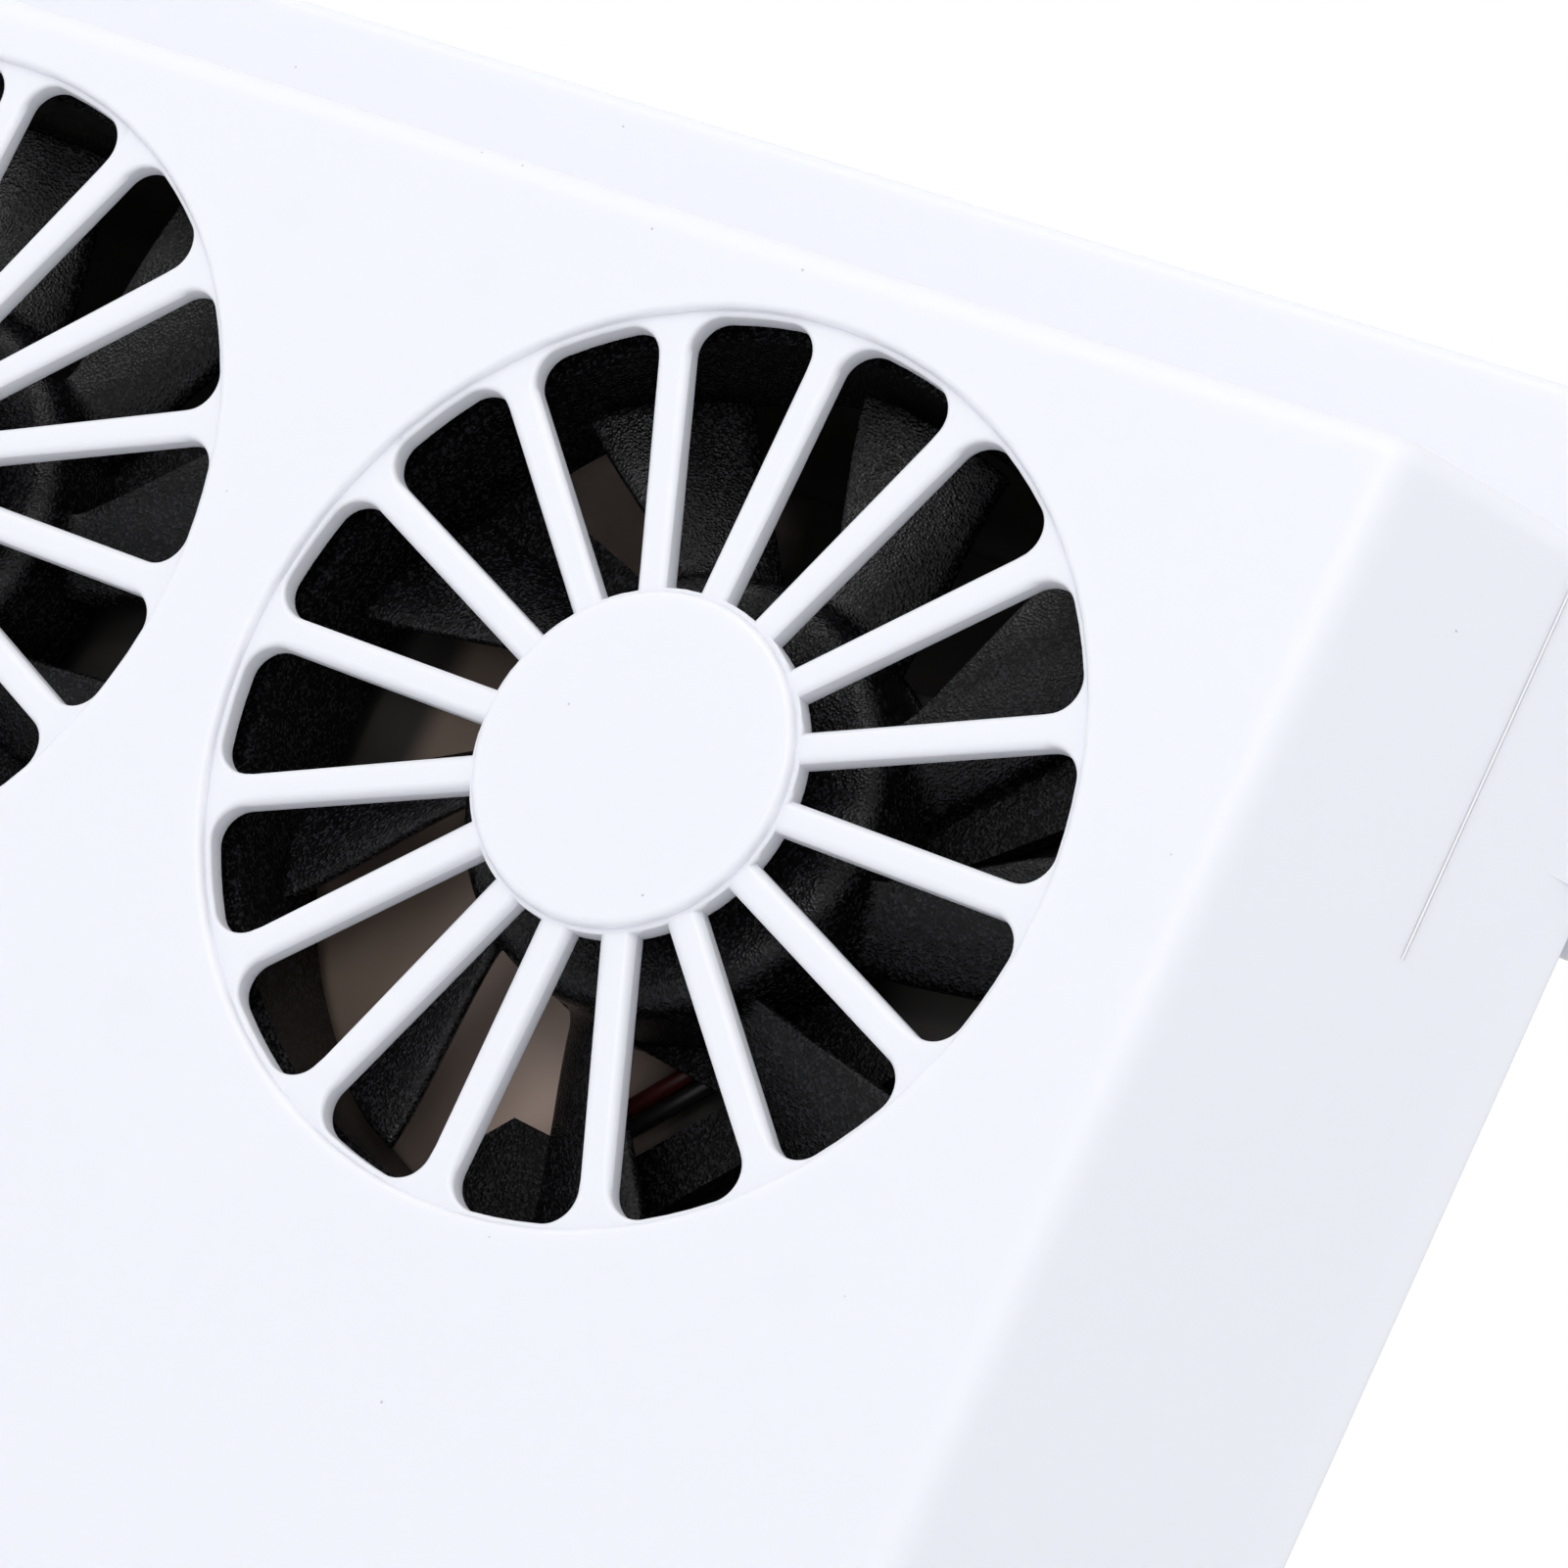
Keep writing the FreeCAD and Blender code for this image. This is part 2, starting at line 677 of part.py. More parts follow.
def rear_housing():
    body = new_body("rear_housing")
    far_half = rear_half - s.rear_taper
    outline = new_sketch(body, "rear_outline", "XY_Plane")
    polygon(outline, [(-rear_half, glass_back), (rear_half, glass_back),
                      (far_half, total_depth), (-far_half, total_depth)])
    pad(body, outline, box_top)
    rounded(body, "rear_corners", s.rear_corner_round,
            lambda edge: upright(edge) and near(edge.BoundBox.YMin, total_depth.value))
    rounded(body, "rear_edges", s.rear_edge_round,
            lambda edge: (level_at(edge, 0) or level_at(edge, box_top.value))
            and edge.BoundBox.YMax > glass_back.value + 1)
    room = new_sketch(body, "rear_room", "XY_Plane", lift=s.case_wall)
    room_near = rear_half - rear_wall_x
    room_far = far_half + rear_slope * s.case_wall - rear_wall_x
    polygon(room, [(-room_near, glass_back), (room_near, glass_back),
                   (room_far, total_depth - s.case_wall), (-room_far, total_depth - s.case_wall)])
    pocket(body, room, box_top - 2 * s.case_wall, reverse=True)

    # The well that holds the panel, with a hole in its floor for the leads
    half = s.panel_width / 2 + s.panel_clear
    low = s.panel_bottom - s.panel_clear
    high = s.panel_bottom + s.panel_height + s.panel_clear
    floor = total_depth - panel_depth
    block(body, "Additive", "well_back", (-half - s.well_wall, floor - s.well_wall, low - s.well_wall),
          (half + s.well_wall, total_depth - s.case_wall / 2, high + s.well_wall))
    block(body, "Subtractive", "well", (-half, floor, low), (half, total_depth + overcut, high))
    lead_hole = new_sketch(body, "well_lead_hole", "XZ_Plane", lift=-(floor - s.well_wall))
    circles(lead_hole, [(s.solar_lead_x, s.solar_lead_z)], s.lead_pair + 2 * s.lead_radius)
    pocket(body, lead_hole, s.well_wall)

    # Screw posts, bored from behind
    post_front = saddle_back + s.saddle_boss
    posts = new_sketch(body, "rear_posts", "XZ_Plane", lift=-post_front)
    circles(posts, post_places, s.post_radius)
    pad(body, posts, total_depth - s.case_wall / 2 - post_front, reverse=True)
    holes = new_sketch(body, "post_holes", "XZ_Plane", lift=-post_front)
    circles(holes, post_places, s.screw_radius + s.head_clear)
    pocket(body, holes, total_depth - post_front)
    sinks = new_sketch(body, "post_sinks", "XZ_Plane", lift=-(post_front + s.post_floor))
    circles(sinks, post_places, s.head_radius + s.head_clear)
    pocket(body, sinks, total_depth - post_front - s.post_floor)

    # Air outlets: rows of level slits, one stack behind each fan
    for side, x in fan_x.items():
        for row in range(vent_rows):
            level = s.vent_bottom + row * s.vent_step
            block(body, "Subtractive", f"vent_{side}_{row}",
                  (x - s.vent_width / 2, total_depth - 2 * s.case_wall, level),
                  (x + s.vent_width / 2, total_depth + overcut, level + s.vent_height))
    place(body)


# Solar panel: board, cells and clear cover, laid into the well from behind

def solar_panel():
    half = s.panel_width / 2
    top = s.panel_bottom + s.panel_height
    floor = total_depth - panel_depth
    cell_front = floor + s.board_thick
    cover_front = cell_front + s.cell_thick
    plain_block("panel_board", (-half, floor, s.panel_bottom), (half, cell_front, top))
    pitch = (s.panel_width - 2 * s.cell_border + s.cell_gap) / cell_count
    cells = []
    for index in range(cell_count):
        left = -half + s.cell_border + index * pitch
        cells.append(brick(f"cell_{index}", (left, cell_front, s.panel_bottom + s.cell_border),
                           (left + pitch - s.cell_gap, cover_front, top - s.cell_border)))
    place(group("solar_cells", cells))
    plain_block("panel_cover", (-half, cover_front, s.panel_bottom), (half, total_depth, top))


# Fans. Each is drawn with its axis along +Z, from the frame's front backwards

bearing_outer = s.shaft_radius + s.running_clear + s.bearing_wall
tube_bore = bearing_outer + s.fit_clear
tube_outer = tube_bore + s.tube_wall
plate_front = s.fan_depth - s.motor_plate_thick
bearing_end = plate_front - s.clip_thick
magnet_outer = s.hub_radius - s.hub_wall - s.fit_clear
magnet_inner = magnet_outer - s.magnet_wall
core_radius = magnet_inner - s.air_gap
core_bore = tube_outer + s.fit_clear
hub_inside = s.hub_front + s.hub_wall
rotor_turn = {"left": s.left_rotor_turn, "middle": s.middle_rotor_turn, "right": s.right_rotor_turn}


def half_chord(radius, offset):
    """Half of a circle's chord that passes this far from its centre."""
    return (radius * radius - offset * offset).root()


def add_strut(body, name, turn, outline):
    """A strut across the back of a fan frame, its outline drawn along x and then turned about the axis."""
    strut = new_sketch(body, name, "XY_Plane", lift=s.fan_depth - s.strut_depth)
    strut.AttachmentOffset = FreeCAD.Placement(strut.AttachmentOffset.Base,
                                               Rotation(Vector(0, 0, 1), turn.value))
    polygon(strut, outline)
    pad(body, strut, s.strut_depth)


def fan_frame(side):
    body = new_body(f"fan_frame_{side}")
    half = s.fan_side / 2
    square = new_sketch(body, f"frame_square_{side}", "XY_Plane")
    polygon(square, [(-half, -half), (half, -half), (half, half), (-half, half)])
    pad(body, square, s.fan_depth)
    rounded(body, f"frame_corners_{side}", s.fan_corner, upright)
    hole = s.screw_spread / 2
    holes = [(i * hole, j * hole) for i in (-1, 1) for j in (-1, 1)]
    bores = new_sketch(body, f"frame_bores_{side}", "XY_Plane", lift=s.fan_depth)
    circles(bores, [(0, 0)], s.duct_radius)
    circles(bores, holes, s.screw_hole)
    pocket(body, bores, s.fan_depth)
    sinks = new_sketch(body, f"frame_sinks_{side}", "XY_Plane", lift=s.fan_depth)
    circles(sinks, holes, s.head_radius + s.head_clear)
    pocket(body, sinks, s.head_height + s.head_clear)
    end_radius = s.duct_radius + s.strut_bite
    low, high = s.side_strut_offset - s.side_strut_width / 2, s.side_strut_offset + s.side_strut_width / 2
    outline = [(0, low), (half_chord(end_radius, low), low), (half_chord(end_radius, high), high), (0, high)]
    add_strut(body, f"frame_left_strut_{side}", s.left_strut_turn, outline)
    add_strut(body, f"frame_right_strut_{side}", s.right_strut_turn, outline)
    near_side = s.lead_strut_offset - s.lead_strut_width / 2
    far_side = s.lead_strut_offset + s.lead_strut_width / 2
    outline = [(-s.lead_strut_tail, -far_side), (half_chord(end_radius, far_side), -far_side),
               (half_chord(end_radius, s.foot_root), -s.foot_root),
               (s.foot_reach + s.foot_flare, -s.foot_root), (s.foot_reach, -near_side),
               (s.arm_reach, -near_side), (s.arm_reach + s.arm_flare, -s.arm_root),
               (0, 0), (-s.lead_strut_tail, -near_side)]
    add_strut(body, f"frame_lead_strut_{side}", s.lead_strut_turn, outline)
    plate = new_sketch(body, f"frame_plate_{side}", "XY_Plane", lift=plate_front)
    circles(plate, [(0, 0)], s.motor_plate)
    pad(body, plate, s.motor_plate_thick)
    sleeve = new_sketch(body, f"frame_tube_{side}", "XY_Plane", lift=s.tube_front)
    circles(sleeve, [(0, 0)], tube_outer)
    pad(body, sleeve, plate_front - s.tube_front)
    bore = new_sketch(body, f"frame_tube_bore_{side}", "XY_Plane", lift=s.fan_depth - s.end_wall)
    circles(bore, [(0, 0)], tube_bore)
    pocket(body, bore, s.fan_depth - s.end_wall - s.tube_front)
    lead_hole = new_sketch(body, f"frame_lead_hole_{side}", "XY_Plane", lift=s.fan_depth)
    circles(lead_hole, [(s.lead_hole_x, s.lead_hole_z)], s.lead_hole)
    pocket(body, lead_hole, s.motor_plate_thick)
    return body


def blade_section(radius, turn, middle):
    """The outline of a blade where it crosses the plane at this radius: a thin cambered strip."""
    along = Vector(math.cos(middle), math.sin(middle), 0)
    across = Vector(-along.y, along.x, 0)
    reach = radius * math.tan(turn / 2)
    front, rear = s.blade_front.value, s.blade_rear.value
    thick = s.blade_thick.value

    def point(share, lift):
        return along * radius + across * (reach * share) + Vector(0, 0, lift)

    lead_low, lead_high = point(-1, front + thick), point(-1, front)
    trail_low, trail_high = point(1, rear), point(1, rear - thick)
    centre = (front + rear) / 2 - s.blade_camber.value
    edges = [
        Part.Arc(lead_high, point(0, centre - thick / 2), trail_high).toShape(),
        Part.LineSegment(trail_high, trail_low).toShape(),
        Part.Arc(trail_low, point(0, centre + thick / 2), lead_low).toShape(),
        Part.LineSegment(lead_low, lead_high).toShape(),
    ]
    return Part.Wire(edges)


def rotor_shape(rest_turn):
    """Hub and blades; rest_turn is where a blade's front edge leaves the hub, in degrees."""
    hub_radius, depth, start = s.hub_radius.value, s.hub_depth.value, s.hub_front.value
    tip = (s.duct_radius - s.tip_gap).value
    turn = math.radians(s.blade_turn.value)
    base = Vector(0, 0, start)
    hub = Part.makeCylinder(hub_radius, depth, base)
    rim = [edge for edge in hub.Edges if len(edge.Vertexes) == 1 and near(edge.BoundBox.ZMax, start)]
    hub = hub.makeFillet(s.hub_round.value, rim)
    inside = Vector(0, 0, hub_inside.value)
    hub = hub.cut(Part.makeCylinder(hub_radius - s.hub_wall.value, depth, inside))
    boss_depth = (s.tube_front - s.head_clear - hub_inside).value
    hub = hub.fuse(Part.makeCylinder(tube_bore.value, boss_depth, inside))
    hub = hub.cut(Part.makeCylinder(s.shaft_radius.value, depth, Vector(0, 0, start + s.hub_wall.value / 2)))
    margin = (tip - hub_radius) / 4
    rows = [hub_radius - margin, (hub_radius + tip) / 2, tip + margin]
    sections = []
    for radius in rows:
        share = (radius - hub_radius) / (tip - hub_radius)
        ahead = s.blade_sweep.value * share + 4 * s.blade_bow.value * share * (1 - share)
        sections.append(blade_section(radius, turn, turn / 2 - math.radians(rest_turn + ahead)))
    blade = Part.makeLoft(sections, True, False)
    reach = s.fan_depth.value
    ring = Part.makeCylinder(tip, reach).cut(Part.makeCylinder(hub_radius - s.hub_wall.value / 2, reach))
    blade = blade.common(ring)
    blades = []
    for index in range(blade_count):
        copy = blade.copy()
        copy.rotate(Vector(), Vector(0, 0, 1), 360 * index / blade_count)
        blades.append(copy)
    return hub.fuse(blades).removeSplitter()


def sector(name, radius, start, length, begin, span):
    item = cylinder(name, radius, start, length)
    item.Angle = span
    item.Placement.Rotation = Rotation(Vector(0, 0, 1), begin)
    return item


def stator_core(side):
    label = f"fan_core_{side}"
    front, deep = s.core_front, s.core_depth
    half = s.pole_width / 2
    shoe = core_radius - s.coil_build
    ring = tube(f"{label}_shoes", core_radius, shoe, front, deep)
    pitch = 360 / pole_count
    span = pitch / 4
    gaps = [sector(f"{label}_gap_{k}", core_radius + overcut, front, deep, (k + 0.5) * pitch - span / 2, span)
            for k in range(pole_count)]
    shoes = cut(f"{label}_poles", ring, fuse(f"{label}_gaps", gaps))
    arm = shoe + s.coil_build / 3
    arms = [brick(f"{label}_arm_x", (-arm, -half, front), (arm, half, front + deep)),
            brick(f"{label}_arm_y", (-half, -arm, front), (half, arm, front + deep))]
    middle = cylinder(f"{label}_middle", core_bore + s.coil_build, front, deep)
    solid = fuse(f"{label}_solid", [shoes, middle] + arms)
    return cut(label, solid, cylinder(f"{label}_bore", core_bore, front, deep))


def stator_coils(side):
    label = f"fan_coils_{side}"
    start = core_bore + s.coil_build + s.fit_clear
    shoe = core_radius - s.coil_build
    neck = s.pole_width / 2 + s.fit_clear
    wide = neck + s.coil_build
    end = (shoe * shoe - wide * wide).root() - s.fit_clear
    low, high = s.core_front - s.fit_clear, s.core_front + s.core_depth + s.fit_clear
    coils = []
    for k, (x, y) in enumerate(((1, 0), (0, 1), (-1, 0), (0, -1))):

        def span(half):
            first = (start if x + y > 0 else -end)
            last = (end if x + y > 0 else -start)
            return ((first, -half), (last, half)) if x else ((-half, first), (half, last))

        outer_low, outer_high = span(wide)
        inner_low, inner_high = span(neck)
        body = brick(f"{label}_{k}_body", outer_low + (low - s.coil_overhang,),
                     outer_high + (high + s.coil_overhang,))
        hole = brick(f"{label}_{k}_hole", inner_low + (low,), inner_high + (high,))
        coils.append(cut(f"{label}_{k}", body, hole))
    return group(label, coils)


def retaining_clip(side):
    label = f"fan_clip_{side}"
    outer = s.shaft_radius + s.clip_wall
    ring = tube(f"{label}_ring", outer, s.shaft_radius, bearing_end + s.fit_clear, s.clip_thick)
    opening = sector(f"{label}_gap", outer + overcut, bearing_end, 2 * s.clip_thick,
                     clip_opening, clip_opening)
    return cut(label, ring, opening)


def fan(side, x):
    shaft_start = s.hub_front + s.hub_wall / 2
    bearing_bore = s.shaft_radius + s.running_clear
    circuit_front = plate_front - s.circuit_thick
    pieces = [
        fan_frame(side),
        solid_part(f"fan_rotor_{side}", rotor_shape(rotor_turn[side].value)),
        tube(f"fan_magnet_{side}", magnet_outer, magnet_inner, hub_inside + s.fit_clear, s.magnet_depth),
        stator_core(side),
        stator_coils(side),
        tube(f"fan_bearing_{side}", bearing_outer, bearing_bore, s.tube_front, bearing_end - s.tube_front),
        tube(f"fan_circuit_{side}", s.circuit_radius, core_bore, circuit_front, s.circuit_thick),
        retaining_clip(side),
    ]
    for piece in pieces:
        place(piece, x=x, depth=s.fan_front, z=s.fan_height, turn=face_back)
    shaft_end = s.fan_depth - s.end_wall - s.head_clear
    shaft = cylinder(f"fan_shaft_{side}", s.shaft_radius, 0, shaft_end - shaft_start)
    place(shaft, x=x, depth=s.fan_front + shaft_start, z=s.fan_height, turn=face_back)


# Screws, drawn along +Z and turned to point forwards

face_front = Rotation(Vector(1, 0, 0), 90)


def screws(label, places, head_depth, length):
    items = [screw(f"{label}_{index}", x, z, -head_depth, length) for index, (x, z) in enumerate(places)]
    place(group(label, items), turn=face_front)


# Controls and power

def button_and_switch():
    wall = s.case_wall + s.button_clear
    plate_back = wall + s.button_plate
    switch_front = s.control_front - s.tact_height
    stem_end = switch_front - s.plunger_reach
    label = "power_button"
    cap = cylinder(f"{label}_cap", s.button_radius, s.button_sink, plate_back - s.button_sink)
    flange = cylinder(f"{label}_flange", s.button_radius + s.button_flange, wall, s.button_plate)
    stem = cylinder(f"{label}_stem", s.plunger_radius, plate_back, stem_end - plate_back)
    place(fuse(label, [cap, flange, stem]), x=s.button_x, z=s.button_z, turn=face_back)
    half = s.tact_side / 2
    shell = brick("tact_switch_shell", (-half, -half, switch_front), (half, half, s.control_front))
    guide = cylinder("tact_switch_guide", s.plunger_radius + s.button_clear, switch_front, s.tact_height / 2)
    place(cut("tact_switch", shell, guide), x=s.button_x, z=s.button_z, turn=face_back)
    plunger = cylinder("switch_plunger", s.plunger_radius, 0, 2 * s.plunger_reach)
    place(plunger, x=s.button_x, depth=stem_end, z=s.button_z, turn=face_back)


connector_places = {
    "left": (s.control_left + 3 * s.control_inset, control_top),
    "middle": (s.control_left + 5 * s.control_inset, control_top),
    "right": (fan_pitch - s.lead_side, control_top),
    "solar": (control_right - 3 * s.control_inset, control_top),
}


# The larger chips: from the board's left and bottom edges, then width and height
chip_places = {
    "charge_chip": (18.5, 12.0, 8.0, 6.0),
    "timer_chip": (37.0, 12.0, 6.0, 6.0),
    "driver_chip": (53.3, 6.5, 4.0, 8.0),
}


def control_board():
    blank = brick("control_blank", (s.control_left, s.control_front, s.control_bottom),
                  (control_right, control_back, control_top))
    holes = []
    for index, (x, z) in enumerate(control_screw_places):
        hole = cylinder(f"control_hole_{index}", s.screw_radius + s.head_clear, 0, s.control_thick, x, z)
        hole.Placement.Rotation = face_back
        bind(hole, {"Placement.Base.y": s.control_front, "Placement.Base.z": z})
        holes.append(hole)
    place(cut("control_board", blank, fuse("control_holes", holes)))
    half = s.connector_width / 2
    back = control_back + s.connector_depth
    blocks = []
    for name, (x, z) in connector_places.items():
        blocks.append(brick(f"connector_{name}", (x - half, control_back, z - s.connector_height),
                            (x + half, back, z)))
    middle = s.control_bottom + s.control_height / 2
    blocks.append(brick("connector_battery", (s.control_left, control_back, middle - half),
                        (s.control_left + s.connector_height, back, middle + half)))
    place(group("lead_connectors", blocks))
    chips = []
    for name, (right, up, wide, tall) in chip_places.items():
        left, low = s.control_left + right, s.control_bottom + up
        chips.append(brick(name, (left, control_back, low),
                           (left + wide, control_back + s.chip_thick, low + tall)))
    place(group("board_chips", chips))


def charging_socket():
    half, tall = s.socket_width / 2, s.socket_height
    low, high = s.socket_sink, s.socket_sink + s.socket_length
    wall = s.socket_shell
    shell = brick("socket_blank", (-half, 0, low), (half, tall, high))
    room = brick("socket_room", (-half + wall, wall, low - overcut), (half - wall, tall - wall, high - wall))
    tongue = brick("socket_tongue", (-half + 3 * wall, tall / 2 - wall, low + wall),
                   (half - 3 * wall, tall / 2 + wall, high))
    socket = fuse("charging_socket", [cut("socket_shell", shell, room), tongue])
    place(socket, x=s.socket_x, depth=control_back)


def battery():
    right = s.battery_left + s.battery_width
    top = s.battery_bottom + s.battery_height
    front = s.case_wall + s.tape_thick
    plain_block("battery_tape", (s.battery_left, s.case_wall, s.battery_bottom), (right, front, top))
    back = front + s.battery_thick
    cell = brick("battery_blank", (s.battery_left, front, s.battery_bottom), (right, back, top))
    doc.recompute()
    eased = doc.addObject("Part::Fillet", "battery_pack")
    eased.Base = cell
    radius = s.battery_round.value
    eased.Edges = [(index, radius, radius) for index, edge in enumerate(cell.Shape.Edges, 1)
                   if near(edge.BoundBox.YMin, back.value)]
    place(eased)


def glass_pads():
    half = s.pad_length / 2
    low, high = s.pad_rise, s.pad_rise + s.pad_height
    plain_block("front_glass_pad", (-half, s.front_depth, low), (half, s.front_depth + s.pad_thick, high))
    plain_block("rear_glass_pad", (-half, glass_back - s.pad_thick, low), (half, glass_back, high))


# Leads: straight runs joined by tangent arcs

def lead(points):
    radius, bend = s.lead_radius.value, s.lead_bend.value
    edges = []
    start = points[0]
    for before, corner, after in zip(points, points[1:], points[2:]):
        back, ahead = (before - corner).normalize(), (after - corner).normalize()
        half = math.acos(max(-1.0, min(1.0, back.dot(ahead)))) / 2
        room = 0.45 * min((before - corner).Length, (after - corner).Length)
        trim = min(bend / math.tan(half), room)
        first, last = corner + back * trim, corner + ahead * trim
        centre = corner + (back + ahead).normalize() * (trim / math.cos(half))
        inner = centre + (corner - centre).normalize() * (trim * math.tan(half))
        edges.append(Part.LineSegment(start, first).toShape())
        edges.append(Part.Arc(first, inner, last).toShape())
        start = last
    edges.append(Part.LineSegment(start, points[-1]).toShape())
    path = Part.Wire(edges)
    section = Part.Wire(Part.Circle(points[0], points[1] - points[0], radius).toShape())
    solid = path.makePipeShell([section], True, False)
    if abs(solid.Volume / (math.pi * radius ** 2 * path.Length) - 1) > 0.01:
        raise RuntimeError("a lead's tube is not its section times its length")
    return solid


def lead_routes(sign):
    """The routes of one colour; sign tells which side of its pair the lead is on."""
    pair = sign * s.lead_pair.value
    bend = s.lead_bend.value
    level = (s.fan_front + s.fan_depth + s.lead_gap + s.lead_radius).value
    board_back = (s.fan_front + plate_front).value
    hole_x, hole_z = s.lead_hole_x.value, (s.fan_height - s.lead_hole_z).value
    duct_z = (control_top + s.lead_fall).value
    drops = {"left": control_top.value + 2 * bend + pair, "middle": control_top.value + 4 * bend + pair}
    routes = []
    for side, x in fan_x.items():
        start_x, exit_x = x.value + hole_x + pair, x.value - s.lead_side.value + pair
        plug_x, plug_z = (length.value for length in connector_places[side])
        route = [Vector(start_x, board_back, hole_z), Vector(start_x, level, hole_z),
                 Vector(start_x, level, hole_z - 2 * bend), Vector(exit_x, level, duct_z)]
        if side in drops:
            route += [Vector(exit_x, level, drops[side]), Vector(plug_x + pair, level, drops[side])]
        routes.append(route + [Vector(plug_x + pair, level, plug_z)])
    plug_x, plug_z = (length.value for length in connector_places["solar"])
    out_x = (saddle_screw_x + s.boss_radius).value + 1.5 * bend + pair
    panel = (total_depth - panel_depth).value
    well_x, well_z = s.solar_lead_x.value + pair, s.solar_lead_z.value + pair
    routes.append([Vector(well_x, panel, well_z), Vector(well_x, saddle_back.value + 2 * bend, well_z),
                   Vector(out_x, level, well_z - bend), Vector(out_x, level, plug_z + 4 * bend - pair),
                   Vector(plug_x + pair, level, plug_z + 2 * bend - pair),
                   Vector(plug_x + pair, level, plug_z)])
    right = (s.battery_left + s.battery_width).value
    depth = (s.case_wall + s.tape_thick + s.battery_thick / 2).value
    height = (s.control_bottom + s.control_height / 2).value + pair
    left = s.control_left.value
    routes.append([Vector(right, depth, height), Vector(right + 4 * bend, depth, height),
                   Vector(left - 4 * bend, level, height), Vector(left, level, height)])
    return routes


def leads():
    for label, sign in (("red_leads", -1), ("black_leads", 1)):
        place(solid_part(label, Part.Compound([lead(route) for route in lead_routes(sign)])))


front_housing()
glass_saddle()
rear_housing()
solar_panel()
for side, x in fan_x.items():
    fan(side, x)
sink = s.head_height + s.head_clear
screws("fan_screws", fan_screw_places, s.fan_front + s.fan_depth - sink,
       s.fan_depth - sink + s.fan_screw_bite)
screws("saddle_screws", saddle_screw_places, s.front_depth - sink,
       s.saddle_wall + s.screw_seat - sink + s.saddle_screw_bite)
screws("rear_screws", post_places, saddle_back + s.saddle_boss + s.post_floor,
       s.post_floor + s.rear_screw_bite)
screws("control_screws", control_screw_places, control_back, s.control_thick + s.control_screw_bite)
button_and_switch()
control_board()
charging_socket()
battery()
glass_pads()
leads()

doc.recompute()
for item in doc.Objects:
    if "Invalid" in item.State or "Error" in item.State:
        raise RuntimeError(f"{item.Label} did not build: {item.State}")
for item in subparts:
    if item.Shape.isNull() or not item.Shape.isValid() or not item.Shape.Solids:
        raise RuntimeError(f"{item.Label} has no valid shape")
os.makedirs("parts", exist_ok=True)
for item in subparts:
    item.Shape.exportStep(f"parts/{item.Label}.step")
whole = Part.Compound([item.Shape for item in subparts]).BoundBox
print(f"{len(subparts)} sub-parts, {whole.XLength:.2f} x {whole.YLength:.2f} x {whole.ZLength:.2f} mm")
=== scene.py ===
import json
import math

import bmesh
import bpy
from mathutils import Matrix, Vector


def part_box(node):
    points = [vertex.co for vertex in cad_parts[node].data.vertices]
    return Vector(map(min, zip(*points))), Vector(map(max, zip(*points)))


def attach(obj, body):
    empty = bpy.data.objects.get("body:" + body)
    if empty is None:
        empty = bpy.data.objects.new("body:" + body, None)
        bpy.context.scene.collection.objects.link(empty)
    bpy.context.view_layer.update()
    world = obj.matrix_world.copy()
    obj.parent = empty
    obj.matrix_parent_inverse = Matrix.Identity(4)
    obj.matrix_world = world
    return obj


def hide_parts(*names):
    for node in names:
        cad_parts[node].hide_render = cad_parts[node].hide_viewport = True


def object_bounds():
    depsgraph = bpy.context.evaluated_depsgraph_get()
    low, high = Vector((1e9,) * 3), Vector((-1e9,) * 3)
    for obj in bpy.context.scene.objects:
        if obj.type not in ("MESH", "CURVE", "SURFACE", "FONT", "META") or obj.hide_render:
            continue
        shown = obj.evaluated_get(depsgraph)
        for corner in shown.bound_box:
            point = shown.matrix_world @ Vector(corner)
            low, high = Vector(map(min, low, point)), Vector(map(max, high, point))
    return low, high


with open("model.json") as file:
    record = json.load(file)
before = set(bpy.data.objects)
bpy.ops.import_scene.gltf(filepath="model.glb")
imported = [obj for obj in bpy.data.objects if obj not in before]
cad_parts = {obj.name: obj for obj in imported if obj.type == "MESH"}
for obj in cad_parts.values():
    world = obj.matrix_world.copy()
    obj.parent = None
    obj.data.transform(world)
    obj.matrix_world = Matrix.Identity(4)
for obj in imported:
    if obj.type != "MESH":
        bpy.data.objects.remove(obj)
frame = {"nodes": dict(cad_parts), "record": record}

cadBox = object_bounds()  # the solids' box, before any piece is dressed
nodes = frame["nodes"]
scene = bpy.context.scene
mm = 0.001
sides = ("left", "middle", "right")
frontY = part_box("front_housing")[0].y  # the flat front face
fanAxes = {side: (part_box("fan_frame_" + side)[0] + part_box("fan_frame_" + side)[1]) / 2 for side in sides}


# shader maths

class Value:  # a socket that takes part in sums
    def __init__(self, paint, socket):
        self.paint = paint
        self.socket = socket

    def math(self, operation, *others):
        sockets = {0: self, **dict(enumerate(others, 1))}
        return self.paint.node("ShaderNodeMath", {"operation": operation}, sockets)

    def __add__(self, other):
        return self.math("ADD", other)

    def __sub__(self, other):
        return self.math("SUBTRACT", other)

    def __mul__(self, other):
        return self.math("MULTIPLY", other)

    def __rsub__(self, other):
        return self.paint.node("ShaderNodeMath", {"operation": "SUBTRACT"}, {0: other, 1: self})

    __radd__ = __add__
    __rmul__ = __mul__

    def clamp(self):
        return self.paint.node("ShaderNodeClamp", {}, {"Value": self})

    def over(self, low, high):  # 0 below low, 1 above high, smooth between
        return self.paint.node("ShaderNodeMapRange", {"interpolation_type": "SMOOTHSTEP"},
                               {"Value": self, "From Min": low, "From Max": high})


